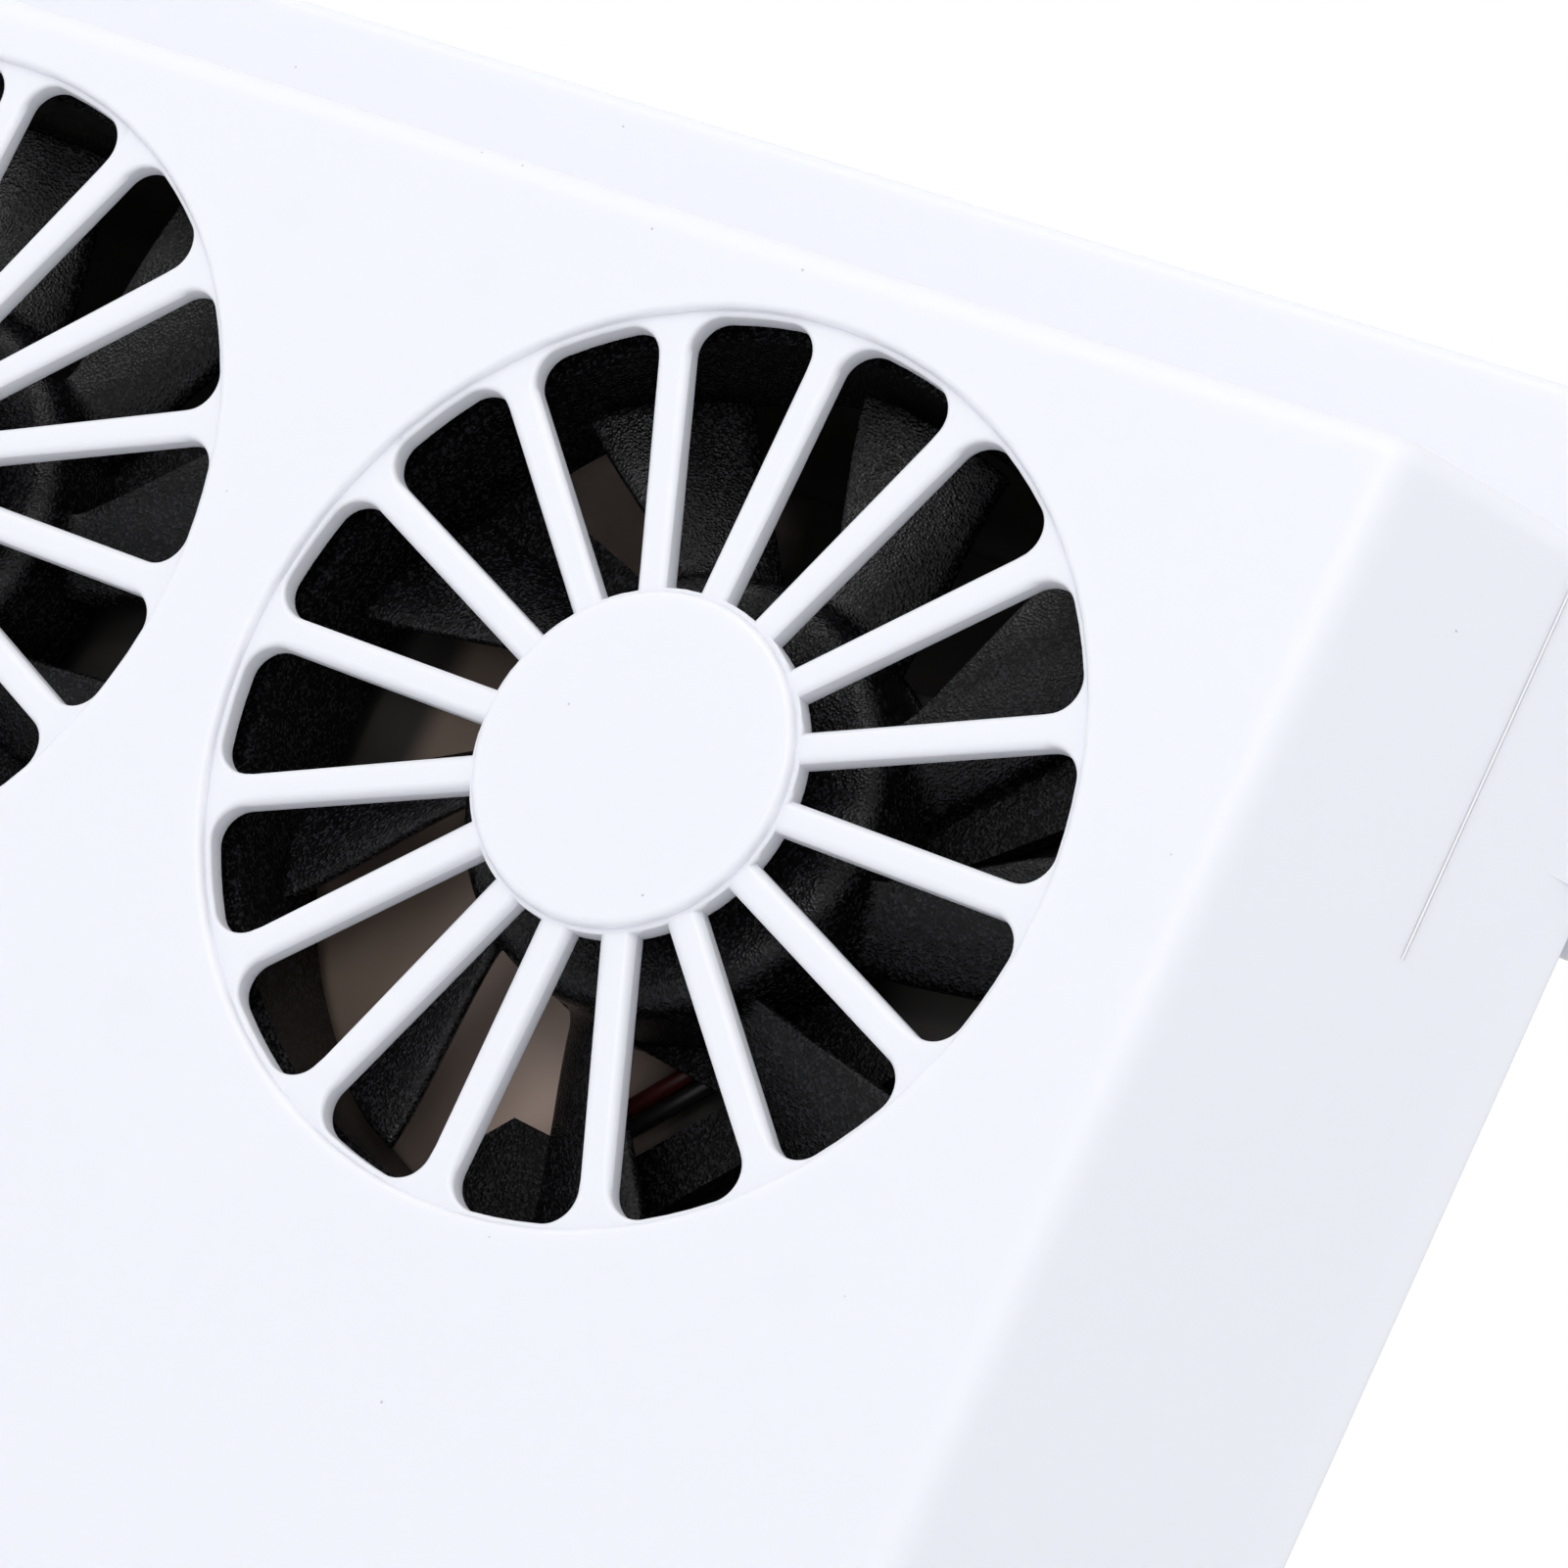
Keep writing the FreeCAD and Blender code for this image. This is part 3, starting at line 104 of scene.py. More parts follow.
class Tree:  # a node tree and its one way of adding nodes
    def __init__(self, tree):
        self.tree = tree
        self.tree.nodes.clear()

    def node(self, kind, settings, sockets, output=0):
        made = self.tree.nodes.new(kind)
        for key, value in settings.items():
            setattr(made, key, value)
        for key, value in sockets.items():
            if isinstance(value, Value):
                self.tree.links.new(value.socket, made.inputs[key])
            else:
                made.inputs[key].default_value = value
        if output is None:
            return made
        return Value(self, made.outputs[output])


class Paint(Tree):  # a material
    def __init__(self, name):
        self.material = bpy.data.materials.new(name)
        self.material.use_nodes = True
        super().__init__(self.material.node_tree)

    def place(self):
        return self.node("ShaderNodeTexCoord", {}, {}, "Object")

    def placeParts(self):  # a node with the outputs X, Y and Z
        return self.node("ShaderNodeSeparateXYZ", {}, {"Vector": self.place()}, None)

    def noise(self, scale, detail=2.0, roughness=0.5):
        sockets = {"Vector": self.place(), "Scale": scale, "Detail": detail, "Roughness": roughness}
        return self.node("ShaderNodeTexNoise", {}, sockets, "Fac")

    def cells(self, scale, feature="F1", output="Distance"):
        sockets = {"Vector": self.place(), "Scale": scale}
        return self.node("ShaderNodeTexVoronoi", {"feature": feature}, sockets, output)

    def mix(self, share, first, second):
        sockets = {"Factor": share, 6: first, 7: second}  # 6, 7 and the output 2 are the colours
        return self.node("ShaderNodeMix", {"data_type": "RGBA"}, sockets, 2)

    def tint(self, share, colour, spread):  # a colour that drifts by a few percent
        darker = tuple(part * (1 - spread) for part in colour)
        lighter = tuple(min(1.0, part * (1 + spread)) for part in colour)
        return self.mix(share, (*darker, 1), (*lighter, 1))

    def bump(self, height, distance):
        return self.node("ShaderNodeBump", {}, {"Height": height, "Distance": distance, "Strength": 1.0})

    def finish(self, sockets):
        shader = self.node("ShaderNodeBsdfPrincipled", {}, sockets)
        self.node("ShaderNodeOutputMaterial", {}, {"Surface": shader}, None)
        return self.material


class Growth(Tree):  # a geometry tree that grows a plain mesh from a seed mesh
    def __init__(self, name, inputs):
        super().__init__(bpy.data.node_groups.new(name, "GeometryNodeTree"))
        panel = self.tree.interface
        self.keys = {}
        for label, kind in {"Geometry": "NodeSocketGeometry", **inputs}.items():
            self.keys[label] = panel.new_socket(label, in_out="INPUT", socket_type=kind).identifier
        panel.new_socket("Geometry", in_out="OUTPUT", socket_type="NodeSocketGeometry")
        self.entry = self.node("NodeGroupInput", {}, {}, None)

    def input(self, label):
        return Value(self, self.entry.outputs[label])

    def finish(self, geometry, material):
        whole = self.node("GeometryNodeRealizeInstances", {}, {"Geometry": geometry})
        dressed = self.node("GeometryNodeSetMaterial", {}, {"Geometry": whole, "Material": material})
        self.node("NodeGroupOutput", {}, {"Geometry": dressed}, None)

    def grow(self, seed, values):
        holder = newObject("seed", seed)
        modifier = holder.modifiers.new("growth", "NODES")
        modifier.node_group = self.tree
        for label, value in values.items():
            modifier[self.keys[label]] = value
        plain = plainMesh(holder)
        bpy.data.objects.remove(holder)
        return plain


# meshes

def newObject(name, data):
    made = bpy.data.objects.new(name, data)
    scene.collection.objects.link(made)
    return made


def plainMesh(holder):  # the mesh with its modifiers worked in
    bpy.context.view_layer.update()
    graph = bpy.context.evaluated_depsgraph_get()
    evaluated = holder.evaluated_get(graph)
    return bpy.data.meshes.new_from_object(evaluated, preserve_all_data_layers=True, depsgraph=graph)


def meshOf(work, name):  # the finished mesh of a bmesh, which is let go
    mesh = bpy.data.meshes.new(name)
    work.to_mesh(mesh)
    work.free()
    return mesh


def addPiece(name, mesh, finish, body, slot, *replaced):
    piece = newObject(name, mesh)
    mesh.name = name
    mesh.materials.clear()
    mesh.materials.append(finishes[finish])
    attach(piece, body)
    if replaced:
        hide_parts(*replaced)
    return piece


def softened(mesh, degrees=35):
    mesh.shade_smooth()
    mesh.set_sharp_from_angle(angle=math.radians(degrees))
    return mesh


def lathe(profile, steps):  # turns (radius, along) round the y axis
    work = bmesh.new()
    rings = []
    angles = [2 * math.pi * step / steps for step in range(steps)]
    for radius, along in profile:
        if radius == 0:  # a pole on the axis
            rings.append([work.verts.new((0, along, 0))])
            continue
        rings.append([work.verts.new((radius * math.cos(a), along, -radius * math.sin(a))) for a in angles])
    for first, second in zip(rings, rings[1:]):
        for step in range(steps):
            after = (step + 1) % steps
            corners = [first[step % len(first)], second[step % len(second)],
                       second[after % len(second)], first[after % len(first)]]
            work.faces.new(list(dict.fromkeys(corners)))
    bmesh.ops.recalc_face_normals(work, faces=work.faces)
    return work


def arcPoints(centre, radius, begin, end, steps):
    turns = [math.radians(begin + (end - begin) * step / steps) for step in range(steps + 1)]
    return [(centre[0] + radius * math.cos(turn), centre[1] + radius * math.sin(turn)) for turn in turns]


copyLook = {"merge": 0.002 * mm, "flat": math.radians(0.5), "sharp": math.radians(30)}


def mergedCopy(node):  # the solid's triangles joined up, with its flat faces whole
    work = bmesh.new()
    work.from_mesh(nodes[node].data)
    bmesh.ops.remove_doubles(work, verts=work.verts, dist=copyLook["merge"])
    bmesh.ops.dissolve_limit(work, angle_limit=copyLook["flat"], verts=work.verts, edges=work.edges)
    return work


def easedMesh(node, easing, look, detail=None):  # a copy of a solid, each edge rounded by its own share
    work = mergedCopy(node)
    weight = work.edges.layers.float.new("bevel_weight_edge")
    for edge in work.edges:
        if edge.is_convex and edge.calc_face_angle(0) > copyLook["sharp"]:
            edge[weight] = easing(edge)
    if detail:
        detail(work)
    holder = newObject("easing", softened(meshOf(work, node)))
    bevel = holder.modifiers.new("easing", "BEVEL")
    bevel.limit_method = "WEIGHT"
    bevel.width = look["easing"]
    bevel.segments = look["segments"]
    bevel.use_clamp_overlap = False
    bevel.loop_slide = False  # even widths beside the seams of the flat faces
    steady = holder.modifiers.new("steady", "WEIGHTED_NORMAL")  # flat faces stay flat beside the roundings
    steady.keep_sharp = True
    plain = plainMesh(holder)
    bpy.data.objects.remove(holder)
    return plain


def outward(edge, middle):  # whether both faces at an edge look away from the middle of the case
    return all(face.normal.dot(face.calc_center_median() - middle) > 0 for face in edge.link_faces)


# finishes

whiteLook = {"colour": (0.862, 0.866, 0.922), "clouds": 35.0, "cloudTint": 0.006,
             "roughness": 0.42, "roughnessDrift": 0.06, "grain": 9000.0, "grainDepth": 0.004 * mm,
             "specks": 210.0, "speckSize": 0.024, "speckCore": 0.6, "speckShare": 0.8,
             "speckColour": (0.50, 0.49, 0.49),
             "glow": 0.5, "glowRadius": (1.0, 0.95, 0.9), "glowDepth": 1.2 * mm}


def whitePlastic():
    paint = Paint("whitePlastic")
    look = whiteLook
    grain = paint.noise(look["grain"], roughness=0.6)
    cloud = paint.noise(look["clouds"])
    speck = 1 - paint.cells(look["specks"]).over(look["speckSize"] * look["speckCore"], look["speckSize"])
    underColour = paint.tint(cloud, look["colour"], look["cloudTint"])
    return paint.finish({
        "Base Color": paint.mix(speck * look["speckShare"], underColour, (*look["speckColour"], 1)),
        "Roughness": look["roughness"] + (cloud - 0.5) * look["roughnessDrift"],
        "Subsurface Weight": look["glow"],
        "Subsurface Radius": look["glowRadius"],
        "Subsurface Scale": look["glowDepth"],
        "Normal": paint.bump(grain, look["grainDepth"]),
    })


# the glint colour is a painted highlight on some grains
fanLook = {"colour": (0.003, 0.003, 0.0036), "drift": 900.0, "driftTint": 0.25, "driftRise": 0.08,
           "roughness": 0.2, "roughnessDrift": 0.1, "grain": 5600.0, "grainDepth": 0.045 * mm,
           "glint": (0.024, 0.024, 0.0265), "glints": (0.55, 1.0)}


def fanPlastic(name, gloss):
    paint = Paint(name)
    look = fanLook
    pebble = paint.cells(look["grain"])
    drift = paint.noise(look["drift"], detail=3.0)
    height = pebble + drift * look["driftRise"]
    chance = paint.node("ShaderNodeSeparateColor", {}, {"Color": paint.cells(look["grain"], "F1", "Color")})
    glint = chance.over(*look["glints"])  # painted glints: some grains get a lighter base colour, as if they caught more light
    black = paint.tint(drift, look["colour"], look["driftTint"])
    return paint.finish({
        "Base Color": paint.mix(glint, black, (*look["glint"], 1)),
        "Roughness": look["roughness"] + drift * look["roughnessDrift"],
        "Specular IOR Level": gloss,
        "Normal": paint.bump(height, look["grainDepth"]),
    })


matteLook = {"grain": 6000.0, "grainDepth": 0.01 * mm, "clouds": 60.0, "cloudTint": 0.06,
             "roughnessDrift": 0.15}


def mattePlastic(name, colour, roughness=0.55):
    paint = Paint(name)
    fine = paint.noise(matteLook["grain"], roughness=0.6)
    cloud = paint.noise(matteLook["clouds"], detail=3.0)
    return paint.finish({
        "Base Color": paint.tint(cloud, colour, matteLook["cloudTint"]),
        "Roughness": roughness + (fine - 0.5) * matteLook["roughnessDrift"],
        "Normal": paint.bump(fine, matteLook["grainDepth"]),
    })


insideLook = {"drift": 300.0, "roughness": 0.55, "roughnessDrift": 0.15}
# inside walls: a painted warm glow stands in for light through the white walls, a painted shade for the dark
# behind each fan and at the top
wallLook = {"warmGlow": (0.88, 0.70, 0.60), "paintedShade": (0.030, 0.025, 0.022), "ragged": 3 * mm,
            "apart": (20 * mm, 28 * mm), "top": (99 * mm, 102 * mm)}
# the saddle: a painted warm glow, lighter near each fan's axis and in a lane up one side, and a painted shade
# above and on one side of each fan
saddleShadingLook = {"warmGlow": (0.20, 0.147, 0.115), "underColour": (0.68, 0.52, 0.44), "paintedShade": (0.020, 0.017, 0.015),
            "shadedSide": (0.0, 5 * mm), "shadedSideEnd": (24 * mm, 29 * mm), "shadeAbove": (66 * mm, 71 * mm),
            "lighterTowardsAxis": (-20 * mm, -6 * mm),
            "lane": (-25.5 * mm, -23 * mm), "laneEnd": (-20 * mm, -17 * mm), "laneTop": (79 * mm, 83 * mm)}


def besideFan(paint):  # how far a point lies to the side of the nearest fan's axis, and its height
    pitch = fanAxes["right"].x - fanAxes["middle"].x
    place = paint.placeParts()
    turns = Value(paint, place.outputs["X"]) * (1 / pitch) + 0.5
    return (turns.math("FRACT") - 0.5) * pitch, Value(paint, place.outputs["Z"])


# mixes the painted shade colour with the painted glow colour by the given share
def glowAndShade(paint, warmGlow, drift, shadeColour, glowColour):
    return paint.finish({
        "Base Color": paint.mix(warmGlow, (*shadeColour, 1), glowColour),
        "Roughness": insideLook["roughness"] + drift * insideLook["roughnessDrift"],
    })


def bareInside():  # painted warm glow between the fans, painted shade behind each fan and at the top
    paint = Paint("bareInside")
    look = wallLook
    side, height = besideFan(paint)
    drift = paint.noise(insideLook["drift"], detail=3.0)
    apart = side.math("ABSOLUTE") + (drift - 0.5) * look["ragged"]
    warmGlow = apart.over(*look["apart"]) * (1 - height.over(*look["top"]))
    return glowAndShade(paint, warmGlow, drift, look["paintedShade"], (*look["warmGlow"], 1))


def bareSaddle():  # painted warm glow low down, lighter near each fan's axis and in a lane up one side; painted shade above and on one side of each fan
    paint = Paint("bareSaddle")
    look = saddleShadingLook
    side, height = besideFan(paint)
    drift = paint.noise(insideLook["drift"], detail=3.0)
    shadedSide = side.over(*look["shadedSide"]) * (1 - side.over(*look["shadedSideEnd"]))
    warmGlow = (1 - shadedSide) * (1 - height.over(*look["shadeAbove"]))
    lane = side.over(*look["lane"]) * (1 - side.over(*look["laneEnd"])) * (1 - height.over(*look["laneTop"]))
    underColour = paint.mix(side.over(*look["lighterTowardsAxis"]), (*look["warmGlow"], 1), (*look["underColour"], 1))
    return glowAndShade(paint, warmGlow.math("MAXIMUM", lane), drift, look["paintedShade"], underColour)


metalLook = {"streaks": 2400.0, "streakDepth": 0.003 * mm, "roughnessDrift": 0.18,
             "clouds": 180.0, "cloudTint": 0.08}


def metal(name, colour, roughness=0.32):
    paint = Paint(name)
    streak = paint.noise(metalLook["streaks"], detail=3.0, roughness=0.7)
    cloud = paint.noise(metalLook["clouds"])
    return paint.finish({
        "Base Color": paint.tint(cloud, colour, metalLook["cloudTint"]),
        "Metallic": 1.0,
        "Roughness": roughness + (streak - 0.5) * metalLook["roughnessDrift"],
        "Normal": paint.bump(streak, metalLook["streakDepth"]),
    })


cellLook = {"fingerPitch": 1.5 * mm, "finger": (0.46, 0.49), "fingerColour": (0.30, 0.31, 0.34),
            "flakes": 420.0, "deepBlue": (0.004, 0.007, 0.028), "paleBlue": (0.010, 0.018, 0.070),
            "roughness": 0.28, "roughnessDrift": 0.1}


def solarCell():
    paint = Paint("solarCell")
    look = cellLook
    height = Value(paint, paint.placeParts().outputs["Z"])
    finger = (height * (1 / look["fingerPitch"])).math("FRACT").math("SUBTRACT", 0.5).math("ABSOLUTE")
    line = finger.over(*look["finger"])
    flake = paint.cells(look["flakes"], "F1", "Color")
    tone = paint.node("ShaderNodeSeparateColor", {}, {"Color": flake})
    blue = paint.mix(tone, (*look["deepBlue"], 1), (*look["paleBlue"], 1))
    return paint.finish({
        "Base Color": paint.mix(line, blue, (*look["fingerColour"], 1)),
        "Roughness": look["roughness"] + tone * look["roughnessDrift"],
        "Coat Weight": 1.0,
    })


coverLook = {"colour": (0.010, 0.012, 0.020), "clear": 0.25, "ripples": 500.0, "rippleDepth": 0.004 * mm,
             "roughness": 0.03, "roughnessDrift": 0.05}


def clearCover():
    paint = Paint("clearCover")
    look = coverLook
    ripple = paint.noise(look["ripples"])
    return paint.finish({
        "Base Color": (*look["colour"], 1),
        "Roughness": look["roughness"] + ripple * look["roughnessDrift"],
        "Alpha": look["clear"],
        "Specular IOR Level": 0.5,
        "Normal": paint.bump(ripple, look["rippleDepth"]),
    })


rubberLook = {"pores": 2600.0, "poreDepth": 0.05 * mm, "clouds": 220.0, "cloudTint": 0.15,
              "roughness": 0.75, "roughnessDrift": 0.2}


def softRubber(name, colour):
    paint = Paint(name)
    look = rubberLook
    pores = paint.cells(look["pores"], "SMOOTH_F1")
    cloud = paint.noise(look["clouds"], detail=3.0)
    return paint.finish({
        "Base Color": paint.tint(cloud, colour, look["cloudTint"]),
        "Roughness": look["roughness"] + (cloud - 0.5) * look["roughnessDrift"],
        "Normal": paint.bump(pores, look["poreDepth"]),
    })


finishes = {
    "white_plastic": whitePlastic(),
    "grey_plastic": mattePlastic("greyPlastic", (0.50, 0.51, 0.53), 0.5),
    "fan_plastic": fanPlastic("fanPlastic", 0.25),
    "black_plastic": mattePlastic("blackPlastic", (0.02, 0.02, 0.022)),
    "button_plastic": mattePlastic("buttonPlastic", (0.42, 0.43, 0.46), 0.45),
    "panel_backing": mattePlastic("panelLaminate", (0.012, 0.013, 0.018), 0.35),
    "solar_cell": solarCell(),
    "clear_cover": clearCover(),
    "circuit_board": mattePlastic("solderMask", (0.02, 0.16, 0.07), 0.3),
    "connector_plastic": mattePlastic("creamPlastic", (0.74, 0.69, 0.57), 0.4),
    "screw_steel": metal("screwSteel", (0.50, 0.50, 0.52)),
    "shaft_steel": metal("shaftSteel", (0.68, 0.68, 0.70), 0.2),
    "socket_steel": metal("socketSteel", (0.62, 0.62, 0.64), 0.28),
    "core_steel": metal("coreSteel", (0.30, 0.30, 0.31), 0.4),
    "sleeve_bronze": metal("sleeveBronze", (0.60, 0.40, 0.20), 0.4),
    "coil_copper": metal("coilCopper", (0.72, 0.34, 0.17), 0.3),
    "magnet_ferrite": mattePlastic("ferrite", (0.05, 0.05, 0.055), 0.6),
    "battery_foil": metal("batteryFoil", (0.70, 0.71, 0.73), 0.35),
    "foam_tape": softRubber("foamTape", (0.82, 0.82, 0.80)),
    "pad_rubber": softRubber("padFoam", (0.03, 0.03, 0.034)),
    "red_lead": mattePlastic("redInsulation", (0.07, 0.009, 0.006), 0.35),
    "black_lead": mattePlastic("blackInsulation", (0.012, 0.012, 0.012), 0.35),
    "inside_glow_and_shade": bareInside(),  # this and the rest aren't slots of the record
    "saddle_glow_and_shade": bareSaddle(),
    # a lighter colour on the mould line, a painted highlight
    "mould_line_highlight": mattePlastic("mouldLine", (0.955, 0.96, 1.0), 0.5),
    "frame_black": fanPlastic("frameBlack", 0.1),
}
for part in frame["record"]["subparts"]:
    mesh = nodes[part["node"]].data
    mesh.materials.clear()
    mesh.materials.append(finishes[part["material_slot"]])
for side in sides:
    nodes["fan_frame_" + side].data.materials[0] = finishes["frame_black"]
print("finishes:", len(finishes))


# cabin-side housing: soft edges round every grille slot, a mould line with a painted highlight on each
# slanted end, painted warm glow and painted shade inside

frontLook = {
    "easing": 0.55 * mm, "segments": 5, "middle": (0, 9 * mm, 55 * mm),  # from the front face
    # lengths below are millimetres: depths from the front face, reaches from a fan's axis
    "slotFloor": 0.6, "grilleReach": 29.5, "rim": 29.2, "softRim": 28.85, "near": 0.1,
    "rimShare": 0.85, "outerShare": 0.55,
    "slotShares": ((10.9, 0.18), (12.0, 1.0), (25.5, 1.0), (28.2, 0.42)),
    "wall": 2.0, "wallBack": 2.3, "hollowEnd": 16.5, "top": 107.2,
    "endFace": 102.8, "endSlope": 14.4 / 17.0,
    "lineDepth": 10.03, "lineLow": 80.3, "lineTop": 106.0,
    "lineWidth": 0.24, "lineRise": 0.008, "lineSink": 0.006,
}
frontMiddle = Vector((0, frontY, 0)) + Vector(frontLook["middle"])


def between(steps, value):  # straight lines through (place, share) steps
    for (low, first), (high, second) in zip(steps, steps[1:]):
        if value <= high:
            share = max(0.0, (value - low) / (high - low))
            return first + (second - first) * share
    return steps[-1][1]


def frontEasing(edge):
    look = frontLook
    middle = (edge.verts[0].co + edge.verts[1].co) / 2
    depth = (middle.y - frontY) / mm
    reach = min(math.hypot(middle.x - axis.x, middle.z - axis.z) for axis in fanAxes.values()) / mm
    if reach < look["grilleReach"]:
        if depth < look["near"]:
            return look["rimShare"]
        if abs(depth - look["slotFloor"]) < look["near"]:
            return between(look["slotShares"], reach)
        return 0.0
    return look["outerShare"] if outward(edge, frontMiddle) else 0.0


def softRims(work):  # each recess closes in on its slots, so that the rounding of its rim runs into theirs
    look = frontLook
    for vert in work.verts:
        for axis in fanAxes.values():
            reach = math.hypot(vert.co.x - axis.x, vert.co.z - axis.z) / mm
            inRecess = vert.co.y - frontY < (look["slotFloor"] + look["near"]) * mm
            if abs(reach - look["rim"]) < look["near"] and inRecess:
                share = look["softRim"] / reach
                vert.co.x = axis.x + (vert.co.x - axis.x) * share
                vert.co.z = axis.z + (vert.co.z - axis.z) * share


def mouldLines(work):  # a fine ridge up each slanted end, from below the plate to the top
    look = frontLook
    mark = work.faces.layers.int.new("mouldLine")
    across = Vector((look["endSlope"], 1.0, 0.0)).normalized() * look["lineWidth"] / 2
    out = Vector((1.0, -look["endSlope"], 0.0)).normalized()
    depth = look["lineDepth"]
    foot = Vector((look["endFace"] + look["endSlope"] * depth, frontY / mm + depth, 0.0))
    corners = (foot - across - out * look["lineSink"], foot + out * look["lineRise"],
               foot + across - out * look["lineSink"])
    for hand in (-1, 1):
        low, high = [[work.verts.new((hand * c.x * mm, c.y * mm, z * mm)) for c in corners]
                     for z in (look["lineLow"], look["lineTop"])]
        made = [work.faces.new((low[i - 1], low[i], high[i], high[i - 1])) for i in (1, 2, 0)]
        made += [work.faces.new(ring) for ring in (low, high)]
        bmesh.ops.recalc_face_normals(work, faces=made)
        for face in made:
            face[mark] = 1


def frontDetail(work):
    softRims(work)
    mouldLines(work)


def frontHousing():
    mesh = easedMesh("front_housing", frontEasing, frontLook, frontDetail)
    addPiece("frontHousing", mesh, "white_plastic", "case", "white_plastic", "front_housing")
    mesh.materials.append(finishes["inside_glow_and_shade"])
    mesh.materials.append(finishes["mould_line_highlight"])
    marks = mesh.attributes["mouldLine"]
    marked = [item.value for item in marks.data]
    mesh.attributes.remove(marks)
    # the mould line faces take the painted highlight, the faces of the hollow take the painted glow and shade
    for face in mesh.polygons:
        if marked[face.index]:
            face.material_index = 2
        elif insideFront(face.center) and face.normal.dot(face.center - frontMiddle) < 0:
            face.material_index = 1


def insideFront(place):  # in the hollow behind the front wall, whose back stays white and lights the fans
    look = frontLook
    depth = (place.y - frontY) / mm
    end = look["endFace"] + look["endSlope"] * depth - look["wall"] / 2
    top = look["top"] - look["wall"] / 2
    return look["wallBack"] < depth < look["hollowEnd"] and abs(place.x) / mm < end and place.z / mm < top


frontHousing()
print("front housing")


# outer housing: white outside, painted warm glow and painted shade on the faces inside

rearLook = {"easing": 0.4 * mm, "segments": 3, "middle": (0, 8 * mm, 55 * mm),  # from the face at the glass
            "backMargin": 1 * mm, "sideMargin": 3 * mm, "facing": -0.5,  # faces that look to the glass
            "postX": 93.5 * mm, "postHeights": (30 * mm, 79 * mm), "postReach": 6 * mm}
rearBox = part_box("rear_housing")
rearMiddle = Vector((0, rearBox[0].y, 0)) + Vector(rearLook["middle"])


def rearEasing(edge):
    return 1.0 if outward(edge, rearMiddle) else 0.0


def rearHousing():
    mesh = easedMesh("rear_housing", rearEasing, rearLook)
    addPiece("rearHousing", mesh, "white_plastic", "case", "white_plastic", "rear_housing")
    mesh.materials.append(finishes["inside_glow_and_shade"])
    # inside faces away from the screw posts take the painted glow and shade
    for face in mesh.polygons:
        margin = rearLook["backMargin"] if face.normal.y < rearLook["facing"] else rearLook["sideMargin"]
        inside = face.normal.dot(face.center - rearMiddle) < 0 and face.center.y < rearBox[1].y - margin
        if inside and not inPost(face.center):
            face.material_index = 1


def inPost(place):  # in one of the screw posts
    return any(math.hypot(abs(place.x) - rearLook["postX"], place.z - height) < rearLook["postReach"]
               for height in rearLook["postHeights"])


rearHousing()
print("outer housing")


# saddle: grey where the glass slides, painted warm glow and painted shade on the faces towards the fans

saddleLook = {"easing": 0.25 * mm, "segments": 2, "shadingDepth": 16.7 * mm}


def glassSaddle():
    mesh = easedMesh("glass_saddle", lambda edge: 1.0, saddleLook)
    addPiece("glassSaddle", mesh, "grey_plastic", "case", "grey_plastic", "glass_saddle")
    mesh.materials.append(finishes["saddle_glow_and_shade"])
    # faces towards the fans take the painted glow and shade
    for face in mesh.polygons:
        if face.center.y < frontY + saddleLook["shadingDepth"]:
            face.material_index = 1


glassSaddle()
print("glass saddle")


# fans: nine swept blades round a hub, each blade flaring into the hub

rotorLook = {  # millimetres and degrees
    "front": 4.0, "hubRadius": 14.2, "hubFront": 1.2, "hubEnd": 8.3, "hubRound": 1.8, "hubWall": 1.0,
    "bossRadius": 2.25, "bossEnd": 2.9, "boreRadius": 1.0, "boreFront": 1.7,
    "tip": 27.5, "bladeFront": 3.85, "bladeRear": 8.4, "thick": 0.9, "camber": 0.6, "turn": 20.5,
    "sweep": 14.1, "bow": 2.6, "flare": 1.1, "tipRound": 0.25, "count": 9,
    "rootClear": 0.1, "rootRun": 0.4, "rootRise": 0.4,  # where the blade may pass the hub's rear edge
    "rows": 22, "steps": 14, "hubSteps": 96, "roundSteps": 8, "edgeAngles": (30, 60, 90, 120, 150),
    "flareRows": (0.03, 0.1, 0.2, 0.35, 0.55, 0.8, 1.05), "tipRows": (0.5, 0.15, 0.0),
    "rest": {"left": 27.0, "middle": 13.7, "right": -1.9},
}


def bladeRadii():  # close together in the flare and at the tip, even between
    look = rotorLook
    radii = [look["hubRadius"] - look["hubWall"] / 2, look["hubRadius"]]
    radii += [look["hubRadius"] + look["flare"] * share for share in look["flareRows"]]
    step = (look["tip"] - look["tipRound"] - radii[-1]) / look["rows"]
    radii += [radii[-1] + step * (row + 1) for row in range(look["rows"])]
    return radii + [look["tip"] - look["tipRound"] * share for share in look["tipRows"]]


def roundedOff(size, place):  # how far a rounding has drawn in, from nothing at place 0 to all at 1
    place = max(0.0, place)
    return size * (1 - math.sqrt(max(0.0, 1 - place * place)))


